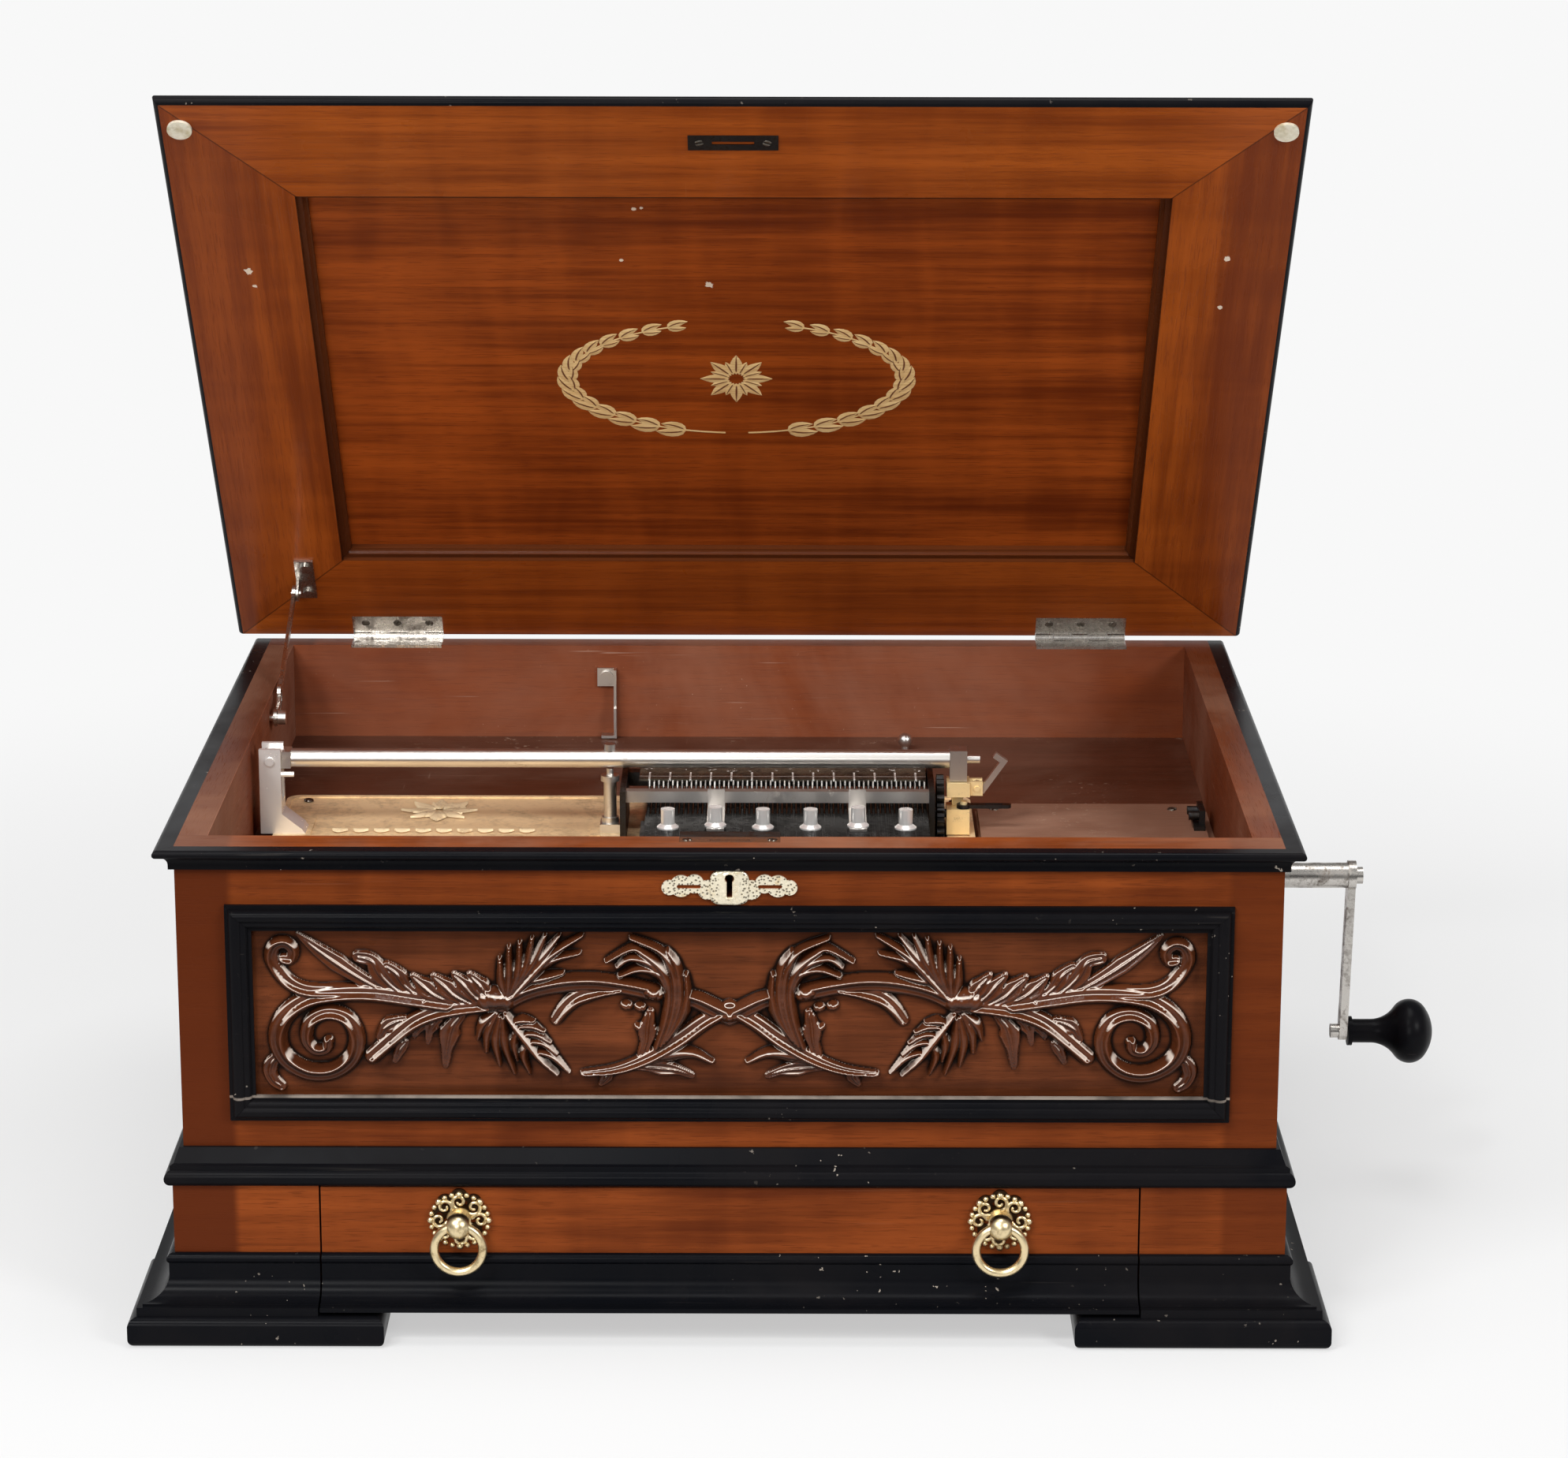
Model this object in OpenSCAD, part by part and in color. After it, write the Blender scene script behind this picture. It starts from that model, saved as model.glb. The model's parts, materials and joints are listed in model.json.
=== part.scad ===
// Table disc music box: mahogany case with ebonised mouldings, hinged lid,
// disc movement with star wheels and comb, spring motor, crank and disc drawer.
// Millimetres, +Z up, front towards -Y. The origin is on the floor under the middle of the case.

/* [Case] */
// Width of the upper case across its side faces
case_w = 711; // [640:1:800]
// Depth of the upper case from front face to back face
case_d = 559; // [500:1:640]
// Height of the upper case above the waist moulding
upper_h = 203; // [190:0.5:260]
// Thickness of the side boards
side_t = 19; // [14:0.5:24]
// Thickness of the front board
front_t = 25; // [20:0.5:30]
// Thickness of the back board
back_t = 21; // [18:0.5:26]
// Thickness of the floor board between the motor and the drawer
floor_t = 8; // [6:0.5:16]
// Depth of the deck below the rim
deck_drop = 71; // [66:0.5:80]
// Thickness of the deck
deck_t = 8; // [6:0.5:12]
// Height of the battens under the deck
batten_h = 12; // [8:0.5:14]
// Width of the battens
batten_w = 15; // [10:0.5:20]

/* [Base and drawer] */
// Height of the feet
foot_h = 20; // [14:0.5:30]
// Width of one foot along the front
foot_w = 167; // [120:1:200]
// Depth of one foot along the side
foot_d = 112; // [80:1:160]
// How far the feet stand out from the upper case faces
foot_out = 35.8; // [30:0.1:45]
// Rounding of the foot edges
foot_round = 6; // [2:0.5:9]
// How far the drawer section stands out from the upper case faces
plinth_out = 7; // [4:0.5:9]
// Height of the base moulding
base_h = 36; // [28:0.5:40]
// Height of the drawer face above the base moulding
drawer_h = 46; // [42:0.5:60]
// Width of the drawer front
drawer_w = 532.6; // [500:0.2:580]
// Room behind the drawer, in front of the back board of its section
drawer_behind = 32; // [12:1:100]
// Thickness of the drawer front and of the stiles beside it
drawer_front_t = 18; // [14:0.5:24]
// Thickness of the drawer sides and back
drawer_side_t = 10; // [7:0.5:14]
// Thickness of the drawer bottom
drawer_bottom_t = 5; // [3:0.5:8]
// Thickness of the boards of the drawer section
plinth_t = 19; // [14:0.5:24]
// Thickness of the board that the drawer slides on
slide_board_t = 8; // [5:0.5:9]
// Gap between the drawer front and the stiles
drawer_gap = 1.2; // [0.8:0.1:2]

/* [Mouldings] */
// Reach of the rim moulding
rim_out = 12.4; // [10:0.1:16]
// Height of the rim moulding
rim_h = 14.5; // [13:0.5:20]
// Height of the rim's round nose
rim_nose = 5.5; // [4:0.1:7]
// Height of the waist moulding
waist_h = 25; // [21:0.5:32]
// Reach of the waist moulding
waist_out = 12; // [10:0.5:18]
// Height of the waist's round nose
waist_nose = 11.5; // [8:0.5:13]
// Reach of the base moulding from the drawer section
base_out = 23; // [18:0.5:26]
// Height of the base moulding's foot fillet
base_fillet = 6; // [4:0.5:8]
// Radius of the base moulding's top bead
bead_r = 3.6; // [3:0.1:4.5]
// Gap left at each mitre joint
mitre_gap = 0.1; // [0.05:0.05:0.3]

/* [Front panel] */
// Distance of the panel moulding from the sides of the case
panel_side = 31.5; // [18:0.5:60]
// Height of the panel moulding's outer edge
panel_h = 146; // [120:1:160]
// Height of the panel's middle above the waist
panel_mid = 91.4; // [84:0.1:110]
// Width of the panel moulding
panel_mould_w = 17; // [13:0.5:21]
// How far the panel moulding stands out from the front
panel_mould_out = 9; // [6:0.5:11]
// Depth of the panel's ground behind the front face
panel_sunk = 6; // [4:0.5:9]
// Thickness of the carved panel's board
panel_t = 12; // [8:0.5:14]
// Lap of the panel under its moulding
panel_lap = 6; // [4:0.5:9]

/* [Lid] */
// Overhang of the lid past the rim's side noses
lid_side_over = 12.6; // [4:0.1:16]
// Overhang of the lid past the rim's front nose
lid_over = 7.6; // [4:0.1:12]
// Thickness of the lid
lid_t = 22; // [18:0.5:26]
// Width of the nosing round the lid
nosing_w = 3.5; // [2:0.5:5]
// Thickness of the lid at its edge
lid_edge_h = 8; // [6.5:0.5:14]
// Width of the slope from the lid's top to its edge
lid_slope = 20; // [8:0.5:30]
// Width of the lid's back rail, and of its front rail with the nosing
lid_rail = 98; // [80:1:110]
// Width of the lid's side rails
lid_stile = 89.5; // [70:0.5:98]
// Depth of the lid panel below the inner face
lid_sunk = 10; // [7:0.5:11]
// Thickness of the lid panel
lid_panel_t = 8; // [5:0.5:8]
// Tongue of the lid panel in its groove
lid_tongue = 6; // [3:0.5:8]
// Width of the moulded step along the lid panel
lid_step = 7; // [4:0.5:9]
// Gap between the closed lid and the rim
lid_gap = 2.4; // [2:0.1:4]
// Opening angle of the lid on its stay
lid_open = 50.7; // [40:0.1:60]
// Width of one hinge
hinge_w = 68; // [50:1:80]
// Distance of each hinge's middle from the side board
hinge_in = 77.8; // [50:0.1:120]
// Radius of the hinge knuckles
knuckle_r = 3.5; // [3:0.1:4.5]
// Radius of the hinge pin
hinge_pin_r = 1.5; // [1:0.1:2]
// Length of the hinge leaf on the lid
lid_leaf = 22; // [18:0.5:28]
// Thickness of the hinge leaves
leaf_t = 2; // [1.5:0.1:2.4]
// Number of knuckles in one hinge
knuckles = 5; // [3:2:7]
// Diameter of the rest pads on the lid
pad_d = 16.5; // [12:0.5:20]
// Distance of the pads in from the lid's edges
pad_in = 15.5; // [12:0.5:20]

/* [Lid stay] */
// Distance of the stay's pivot from the hinge, along the lid
stay_along = 64; // [56:1:72]
// Distance of the stay's pivot below the lid's inner face
stay_drop = 9; // [8:0.5:11]
// Distance of the stay stud in front of the back face
stud_back = 183; // [165:1:200]
// Depth of the stay stud below the rim
stud_drop = 14; // [11:0.5:18]
// Radius of the stay stud
stud_r = 2.5; // [2:0.1:3]
// Width of the stay's flat bar
stay_w = 7; // [5:0.5:8]
// Thickness of the stay's flat bar
stay_t = 2.4; // [1.8:0.1:3]
// Gap between the stay and the side board
stay_off = 3.3; // [2:0.1:4]

/* [Movement] */
// Distance of the latch post's middle from the right side board
motor_room = 180.5; // [176:0.5:190]
// Distance of the spindle in front of the case's middle depth
spindle_front = 12.5; // [0:0.5:30]
// Height of the disc above the deck
disc_h = 45; // [44:0.5:48]
// Radius of the spindle's pin
spindle_r = 2.5; // [2:0.1:3.5]
// Length of the spindle's pin above the disc's seat
spindle_pin = 5; // [3:0.5:5]
// Thickness of the bedplate
bed_t = 5; // [3:0.5:7]
// Bedplate's reach behind the spindle
bed_back = 88; // [80:1:110]
// Bedplate's reach in front of the spindle
bed_front = 102; // [98:1:130]
// Thickness of the wooden motor cover
cover_t = 6; // [4:0.5:9]

/* [Comb and star wheels] */
// Number of comb teeth and of star wheels
teeth = 60; // [40:1:72]
// Spacing of the star wheels
star_pitch = 3.25; // [2.8:0.05:3.3]
// Thickness of one star wheel
star_t = 1.9; // [1.2:0.1:2.2]
// Radius of a star wheel over its points
star_r = 8.5; // [7:0.1:9]
// Number of points on a star wheel
star_points = 8; // [6:1:10]
// Depth of the star wheels' tops below the disc
star_under = 4; // [1:0.1:5]
// Radius of the star wheel shaft
star_shaft_r = 2.5; // [2:0.1:3]
// Thickness of the comb
comb_t = 4; // [3:0.5:5]
// Length of the comb teeth
comb_tooth = 30; // [20:1:36]
// Depth of the comb's solid root
comb_root = 60; // [44:1:66]
// Width of the slots between comb teeth
comb_slot = 0.9; // [0.6:0.1:1.4]
// Number of comb screws
comb_screw_n = 6; // [4:1:8]
// Thickness of the gantry's end plates
gantry_t = 4; // [3:0.5:5]

/* [Pressure bar] */
// Radius of the pressure bar
bar_r = 6.5; // [5:0.1:7.5]
// Height of the bar's middle above the disc's seat
bar_up = 12; // [11.6:0.1:13]
// Distance of the bar's pivot from the left side board
post_in = 13.5; // [10:0.5:24]
// Distance from the spindle to the middle of the latch post
bar_right = 243; // [240:0.5:250]
// Radius of the bar's pivot pin
bar_pin_r = 3; // [2:0.1:4]

/* [Motor and gears] */
// Gear module
gear_m = 2.5; // [2:0.1:2.6]
// Teeth of the great wheel and the winding wheel
wheel_teeth = 40; // [36:1:42]
// Teeth of the pinions
pinion_teeth = 12; // [12:1:14]
// Teeth of the second wheel
second_teeth = 36; // [34:1:38]
// Teeth of the disc's drive sprocket
sprocket_teeth = 20; // [18:1:22]
// Thickness of the wheels
wheel_t = 8; // [5:0.5:9]
// Thickness of the sprocket and the second wheel
sprocket_t = 5; // [3:0.5:6]
// Radius of the spring barrel
barrel_r = 42; // [30:0.5:43]
// Length of the spring barrel
barrel_l = 68; // [50:1:70]
// Radius of the barrel's arbor
barrel_arbor_r = 5; // [4:0.5:6]
// Radius of the train's arbors
train_arbor_r = 3; // [2:0.1:4]
// Thickness of the motor plates
plate_t = 4; // [3:0.5:6]
// Backlash of the gears
backlash = 0.5; // [0.3:0.05:0.8]

/* [Crank] */
// Depth of the crank's axis below the deck's top
crank_drop = 27; // [25:0.5:40]
// Radius of the winding arbor
arbor_r = 5; // [4:0.1:6]
// Radius of the crank's sleeve
sleeve_r = 8.9; // [8:0.1:11]
// Distance from the case side to the crank arm
crank_reach = 77.5; // [62:1:84]
// Length of the crank arm between its axes
crank_arm_l = 115; // [95:1:125]
// Thickness of the crank arm
crank_arm_t = 5.5; // [4:0.5:7]
// Width of the crank arm
crank_arm_w = 13; // [10:0.5:17]
// Inward lean of the crank arm in degrees
crank_lean = 1.2; // [0:0.1:4]
// Length of the crank's knob
knob_l = 60; // [48:1:68]
// Largest radius of the knob
knob_r = 22.7; // [20:0.1:26]
// Radius of the knob's neck
knob_neck = 8.4; // [7.5:0.1:10]

/* [Pulls and lock] */
// Distance of each drawer pull from the middle
pull_x = 176; // [140:1:220]
// Height of the pull's boss above the base moulding
pull_up = 24; // [22:0.5:25]
// Radius of the pierced rosette
rosette_r = 18.4; // [16:0.1:18.8]
// Thickness of the rosette
rosette_t = 2; // [1.2:0.1:3]
// Radius of the ring at its wire's middle
ring_r = 15.8; // [13:0.1:18]
// Radius of the ring's wire
ring_wire = 2.9; // [2.2:0.1:3.2]
// Distance of the ring's wire in front of the drawer face
ring_out = 15; // [14:0.5:18]
// Length of the escutcheon
escutcheon_l = 89; // [70:1:100]
// Height of the escutcheon's middle below the rim
escutcheon_drop = 26.4; // [26:0.1:27]
// Length of the lock's top plate
lock_l = 65; // [50:1:80]

/* [Clearances] */
// Gap between pieces that move past each other
clear = 0.3; // [0.2:0.05:0.6]
// Radial clearance of a running fit
run_fit = 0.05; // [0.02:0.01:0.09]
// Gap around a board let into another
let_in = 0.1; // [0.05:0.05:0.3]

/* [Hidden] */
$fn = 64;

// Finishes
mahogany = "#7a3a1e";
ground = "#4a2415";
ebony = "#15161c";
brass = "#b8954d";
gilt = "#a8893f";
nickel = "#c4beb4";
steel = "#3b3c40";
ivory = "#efe3cf";

// Heights
z_base = foot_h;
z_drawer = z_base + base_h;
z_waist = z_drawer + drawer_h;
z_case = z_waist + waist_h;
z_rim = z_case + upper_h;
z_floor = z_waist + floor_t;
z_deck = z_rim - deck_drop;
z_bed = z_deck + bed_t;
z_disc = z_deck + disc_h;

// Faces of the case
x_side = case_w / 2;
x_in = x_side - side_t;
y_front = -case_d / 2;
y_back = case_d / 2;
y_in_front = y_front + front_t;
y_in_back = y_back - back_t;

// Faces of the drawer section
plinth_w = case_w + 2 * plinth_out;
x_plinth = plinth_w / 2;
y_plinth = y_front - plinth_out;
x_open = drawer_w / 2 + drawer_gap;
z_slide = z_base + 2;
z_tray = z_slide + slide_board_t + clear;
y_tray_back = y_back - plinth_t - drawer_behind;
tray_h = 55;
drawer_top = z_waist - 0.8;
drawer_low = z_base + 3;

// Front panel
z_panel = z_case + panel_mid;
panel_w = case_w - 2 * panel_side;
panel_in_w = panel_w - 2 * panel_mould_w;
panel_in_h = panel_h - 2 * panel_mould_w;
panel_open_w = panel_in_w + 2 * panel_lap;
panel_open_h = panel_in_h + 2 * panel_lap;

// Lid, measured closed and then turned open about the hinge
hinge_x = x_in - hinge_in;
hinge_y = y_back + 1.5;
hinge_z = z_rim + lid_gap / 2;
lid_z = z_rim + lid_gap;
lid_front = y_front - rim_out - lid_over;
lid_w = case_w + 2 * (rim_out + lid_side_over);
lid_out_w = lid_w - 2 * nosing_w;
lid_frame_front = lid_front + nosing_w;
lid_front_rail = lid_rail - nosing_w;
panel_y0 = lid_frame_front + lid_front_rail;
panel_y1 = y_back - lid_rail;
panel_x = lid_out_w / 2 - lid_stile;

// Lid stay, in the plane of the left side board; its bar turns at a steady rate with the lid
stay_x = -x_in + stay_off;
stud_y = y_back - stud_back;
stud_z = z_rim - stud_drop;
stay_pin_r = 2;
pivot_closed = [hinge_y - stay_along, lid_z - stay_drop];
function pivot_at(open) =
  let (a = pivot_closed - [hinge_y, hinge_z])
  [hinge_y + a[0] * cos(open) + a[1] * sin(open), hinge_z - a[0] * sin(open) + a[1] * cos(open)];
function tilt_to_stud(open) = let (p = pivot_at(open)) atan2(p[1] - stud_z, p[0] - stud_y);
stay_tilt = tilt_to_stud(lid_open);
stay_tilt_closed = tilt_to_stud(0);
// Place of the stud along and above the bar, for a lid open by a share of its travel
function slot_at(share) =
  let (
    p = pivot_at(lid_open * share), d = [stud_y, stud_z] - p,
    a = stay_tilt_closed + (stay_tilt - stay_tilt_closed) * share
  )
  [-d[0] * cos(a) - d[1] * sin(a), -d[0] * sin(a) + d[1] * cos(a)];
stay_eye = 6;
slot_half = stud_r + clear;
slot_steps = 16;

// Movement
post_x = post_in - x_in;
latch_x = x_in - motor_room;
spindle_x = latch_x - bar_right;
bar_y = -spindle_front;
bar_z = z_disc + bar_up;
star_z = z_disc - star_under - star_r;
stars_l = teeth * star_pitch;
gantry_off = 21;
gantry_spare = 19;
gantry_right = latch_x - gantry_off;
gantry_left = gantry_right - stars_l - gantry_spare;
stars_x = gantry_right - stars_l - 1;
comb_top = star_z - 4.5;
comb_tip = bar_y - star_r - 1;
comb_back_root = comb_tip - comb_tooth;
comb_front = comb_back_root - comb_root;
comb_screw_in = 34;
comb_screw_h = 13.5;
comb_screw_y = comb_back_root - comb_screw_in;
rail_front = 28.5;
rail_y = bar_y - rail_front;
rail_w = 8;
rail_h = 8;
rail_z = comb_top + 5;
gantry_lap = 6;
gantry_y0 = rail_y - gantry_lap;
gantry_behind = 44;
gantry_y1 = bar_y + gantry_behind;
beam_t = 10;
scale_y = bar_y + star_r + 0.6;
gantry_top = z_disc - 3;
bed_x0 = post_x + 1;
bed_end = 12;
bed_x1 = latch_x + bed_end;
bar_seat_l = 26;
bar_seat_w = 68;
spindle_seat = 28;
cover_x0 = bed_x1 + 4;
cover_x1 = x_in - 6;

// Gear train, all arbors along X
wheel_r = gear_m * wheel_teeth / 2;
pinion_r = gear_m * pinion_teeth / 2;
second_r = gear_m * second_teeth / 2;
sprocket_r = gear_m * sprocket_teeth / 2;
addendum = 0.9 * gear_m;
dedendum = 1.2 * gear_m;
pressure_angle = 25;
crank_z = z_deck - crank_drop;
barrel_z = crank_z - wheel_r - pinion_r;
sprocket_z = z_disc - sprocket_r - addendum;
train_up = sprocket_z - barrel_z;
reach_low = wheel_r + pinion_r;
reach_high = second_r + sprocket_r;
second_up = (train_up * train_up + reach_low * reach_low - reach_high * reach_high) / (2 * train_up);
second_out = sqrt(reach_low * reach_low - second_up * second_up);
second_y = bar_y + second_out;
second_z = barrel_z + second_up;
governor_turn = 10;
governor_y = second_y + (second_r + pinion_r) * cos(governor_turn);
governor_z = second_z + (second_r + pinion_r) * sin(governor_turn);
sprocket_x = gantry_right + gantry_t + 2;
plate_off = 13;
plate_x0 = sprocket_x - plate_off;
great_off = 19;
great_x = sprocket_x + great_off;
winding_gap = 10;
winding_x = great_x + wheel_t + barrel_l + winding_gap;
winding_end = 50;
plate_x1 = winding_x + winding_end;
plate_front = 64;
plate_y0 = bar_y - plate_front;
plate_behind = 26;
plate_y1 = governor_y + plate_behind;
plate_low = barrel_z - wheel_r - addendum - 2.5;
pillars = [
  [plate_y0 + 11, plate_low + 12], [plate_y0 + 13, z_deck - deck_t - 14],
  [second_y + 34, plate_low + 16], [plate_y1 - 9, second_z - 32]
];
pillar_r = 4.5;
slot_x0 = sprocket_x - 2.5;
slot_x1 = sprocket_x + sprocket_t + 2.5;
slot_y0 = bar_y - sprocket_r - addendum - 4;
slot_y1 = second_y + second_r + addendum + 4;

// Crank
crank_x = x_side + crank_reach;
bush_flange = 3;
sleeve_x0 = x_side + bush_flange + 1;
ferrule_r = knob_neck + 2;
knob_off = crank_arm_t / 2 / cos(crank_lean) + ferrule_r * tan(crank_lean) + clear;
knob_x = crank_x - crank_arm_l * sin(crank_lean) + knob_off;
knob_z = crank_z - crank_arm_l * cos(crank_lean);
knob_pin_r = 3;
knob_pin_l = 26;

// Pulls and lock
pull_z = z_drawer + pull_up;
ring_y = y_plinth - ring_out;
boss_r = 8.5;
rosette_up = 2.3;
bore_mouth = 0.83 * boss_r;
boss_bore = ring_wire + ring_r - sqrt(ring_r * ring_r - bore_mouth * bore_mouth) + clear;
escutcheon_t = 1.6;
keyhole_up = 6;
keyhole_r = 3;
keyhole_low = 6.5;
keyhole_w = 3.6;
escutcheon_z = z_rim - escutcheon_drop;

// Shared shapes

module block(low, high) {
  translate(low) cube(high - low);
}

module rod_x(x0, x1, y, z, r) {
  translate([x0, y, z]) rotate([0, 90, 0]) cylinder(h = x1 - x0, r = r);
}

module rod_y(y0, y1, x, z, r) {
  translate([x, y0, z]) rotate([-90, 0, 0]) cylinder(h = y1 - y0, r = r);
}

module rod_z(z0, z1, x, y, r) {
  translate([x, y, z0]) cylinder(h = z1 - z0, r = r);
}

// A flat shape drawn in Y and Z, given a thickness along X
module plate_x(x0, t) {
  translate([x0, 0, 0]) rotate([90, 0, 90]) linear_extrude(t) children();
}

// A flat shape drawn in X and Z, given a thickness along -Y
module plate_y(y0, t) {
  translate([0, y0, 0]) rotate([90, 0, 0]) linear_extrude(t) children();
}

module both_sides() {
  children();
  mirror([1, 0, 0]) children();
}

// A moulding along the front face of a case, mitred at both ends; the profile is (outwards, height)
module front_run(w, y, reach) {
  intersection() {
    translate([-w / 2 - reach, y, 0])
      rotate([90, 0, 90]) linear_extrude(w + 2 * reach) mirror([1, 0]) children();
    linear_extrude(z_rim + 2 * lid_t)
      polygon([
        [-w / 2 + mitre_gap, y], [-w / 2 - reach + mitre_gap, y - reach],
        [w / 2 + reach - mitre_gap, y - reach], [w / 2 - mitre_gap, y]
      ]);
  }
}

// The matching moulding along the right side, square at the back
module side_run(w, y, back, reach) {
  intersection() {
    translate([w / 2, back, 0])
      rotate([90, 0, 0]) linear_extrude(back - y + reach) children();
    linear_extrude(z_rim + 2 * lid_t)
      polygon([[w / 2, y], [w / 2 + reach, y - reach], [w / 2 + reach, back], [w / 2, back]]);
  }
}

module three_runs(w, y, back, reach) {
  front_run(w, y, reach) children();
  both_sides() side_run(w, y, back, reach) children();
}

// Involute angle at radius r of a base circle, in degrees
function involute(base, r) = r <= base ? 0 : tan(acos(base / r)) * 180 / PI - acos(base / r);

function half_tooth(n, r) =
  let (pitch = gear_m * n / 2, base = pitch * cos(pressure_angle))
  90 / n - backlash / 2 / pitch * 90 / PI + involute(base, pitch) - involute(base, r);

function polar(r, a) = [r * cos(a), r * sin(a)];

// Gear outline with three points on each flank, joined through the true involute
function gear_points(n) =
  let (pitch = gear_m * n / 2, radii = [pitch - dedendum, pitch, pitch + addendum])
  [for (k = [0:n - 1], s = [-1, 1], i = [0:2])
    let (r = radii[s < 0 ? i : 2 - i]) polar(r, 360 * k / n + s * half_tooth(n, r))];

module gear(x0, t, y, z, n, phase, bore = 0) {
  translate([x0, y, z]) rotate([90, 0, 90]) linear_extrude(t) difference() {
    rotate(phase) polygon(gear_points(n));
    if (bore > 0) circle(bore);
  }
}

// Phase of a follower gear so that it meshes with a driver seen in a given direction
function mesh_phase(n_driver, driver_phase, n, direction) =
  direction + 180 - (0.5 - (direction - driver_phase) * n_driver / 360) * 360 / n;

second_turn = atan2(second_up, second_out);
sprocket_turn = atan2(train_up - second_up, -second_out);
great_phase = 0;
second_pinion_phase = mesh_phase(wheel_teeth, great_phase, pinion_teeth, second_turn);
second_phase = 0;
sprocket_phase = mesh_phase(second_teeth, second_phase, sprocket_teeth, sprocket_turn);
governor_phase = mesh_phase(second_teeth, second_phase, pinion_teeth, governor_turn);
arbor_phase = 0;
winding_phase = mesh_phase(pinion_teeth, arbor_phase, wheel_teeth, -90);

// Lid pieces are drawn closed and turned open about the hinge
module opened() {
  translate([0, hinge_y, hinge_z]) rotate([-lid_open, 0, 0]) translate([0, -hinge_y, -hinge_z])
    children();
}

// Base and drawer section

module foot_shape(a, b) {
  translate([a + foot_round, 0]) square([b - a - 2 * foot_round, foot_h]);
  translate([a, foot_round]) square([b - a, foot_h - 2 * foot_round]);
  for (x = [a + foot_round, b - foot_round], z = [foot_round, foot_h - foot_round])
    translate([x, z]) circle(foot_round);
}

module foot(y0, y1) {
  x1 = x_side + foot_out;
  intersection() {
    plate_y(y1, y1 - y0) foot_shape(x1 - foot_w, x1);
    plate_x(x1 - foot_w, foot_w) foot_shape(y0, y1);
  }
}

module feet() {
  color(ebony) both_sides() {
    foot(y_front - foot_out, y_front - foot_out + foot_d);
    foot(y_back - foot_d, y_back);
  }
}

module plinth_walls() {
  stile_back = y_plinth + drawer_front_t + 4;
  color(mahogany) {
    both_sides() {
      block([x_plinth - plinth_t, stile_back, z_base], [x_plinth, y_back, z_waist]);
      block([x_open, y_plinth, z_base], [x_plinth, stile_back - let_in, z_waist]);
    }
    x_back = x_plinth - plinth_t - let_in;
    block([-x_back, y_back - plinth_t, z_base], [x_back, y_back, z_waist]);
  }
}

module slide_board() {
  x_board = x_plinth - plinth_t - let_in;
  y0 = y_plinth + drawer_front_t + 4;
  color(mahogany)
    block([-x_board, y0, z_slide], [x_board, y_back - plinth_t - let_in, z_slide + slide_board_t]);
}

// Battens under the deck and guides beside the drawer
module battens() {
  z_guide = z_slide + slide_board_t;
  x_guide = drawer_w / 2 + clear + 0.5;
  color(mahogany) both_sides() {
    block([x_in - batten_w, y_in_front + 6, z_deck - deck_t - batten_h],
          [x_in, y_in_back - 6, z_deck - deck_t]);
    block([x_guide, y_plinth + drawer_front_t + 10, z_guide],
          [x_guide + batten_w, y_back - plinth_t - 8, z_guide + batten_w]);
  }
}

module base_profile() {
  bead_in = 1.4;
  quirk = bead_r;
  cove_r = base_out - quirk - 5;
  z_cove = z_drawer - 4 * bead_r;
  translate([0, z_base]) square([base_out, base_fillet]);
  translate([0, z_base + base_fillet]) difference() {
    square([quirk + cove_r + 1.5, z_cove - z_base - base_fillet]);
    translate([quirk + cove_r, z_cove - z_base - base_fillet]) circle(cove_r);
    translate([quirk + cove_r, 2]) square([base_out, z_cove]);
  }
  translate([0, z_cove - 1]) square([quirk, z_drawer - z_cove + 1 - bead_r]);
  translate([0, z_drawer - 2 * bead_r]) square([bead_in, 2 * bead_r]);
  translate([bead_in, z_drawer - bead_r]) circle(bead_r);
}

// Fixed base moulding on the sides and on the stiles beside the drawer
module base_moulding() {
  color(ebony) {
    both_sides() side_run(plinth_w, y_plinth, y_back, base_out) base_profile();
    both_sides() intersection() {
      front_run(plinth_w, y_plinth, base_out) base_profile();
      block([x_open, y_plinth - base_out - 1, 0], [x_plinth + base_out, y_plinth, z_waist]);
    }
  }
}

module waist_profile() {
  r = waist_nose / 2;
  translate([0, z_waist]) square([waist_out - r, waist_nose]);
  translate([waist_out - r, z_waist + r]) circle(r);
  polygon([
    [0, z_case], [2.5, z_case], [waist_out - 6, z_waist + waist_nose + 3.5],
    [waist_out - 3.5, z_waist + waist_nose + 2.5], [waist_out - 3.5, z_waist + r], [0, z_waist + r]
  ]);
}

module waist_moulding() {
  color(ebony) three_runs(case_w, y_front, y_back, waist_out) waist_profile();
}

// Upper case

module case_floor() {
  color(mahogany) block([-x_side, y_front, z_waist], [x_side, y_back, z_floor]);
}

module case_front() {
  color(mahogany) difference() {
    block([-x_side, y_front, z_floor], [x_side, y_in_front, z_rim]);
    block([-panel_open_w / 2, y_front - 1, z_panel - panel_open_h / 2],
          [panel_open_w / 2, y_in_front + 1, z_panel + panel_open_h / 2]);
    lock_plate_space();
    rod_y(y_front - 1, y_in_front + 1, 0, escutcheon_z + keyhole_up, keyhole_r);
    block([-keyhole_w / 2, y_front - 1, escutcheon_z - keyhole_low],
          [keyhole_w / 2, y_in_front + 1, escutcheon_z + keyhole_up]);
  }
}

module case_sides() {
  color(mahogany) difference() {
    both_sides()
      block([x_in, y_in_front + let_in, z_floor], [x_side, y_in_back - let_in, z_rim]);
    rod_x(0, x_side + 1, bar_y, crank_z, sleeve_r + let_in);
  }
}

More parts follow.
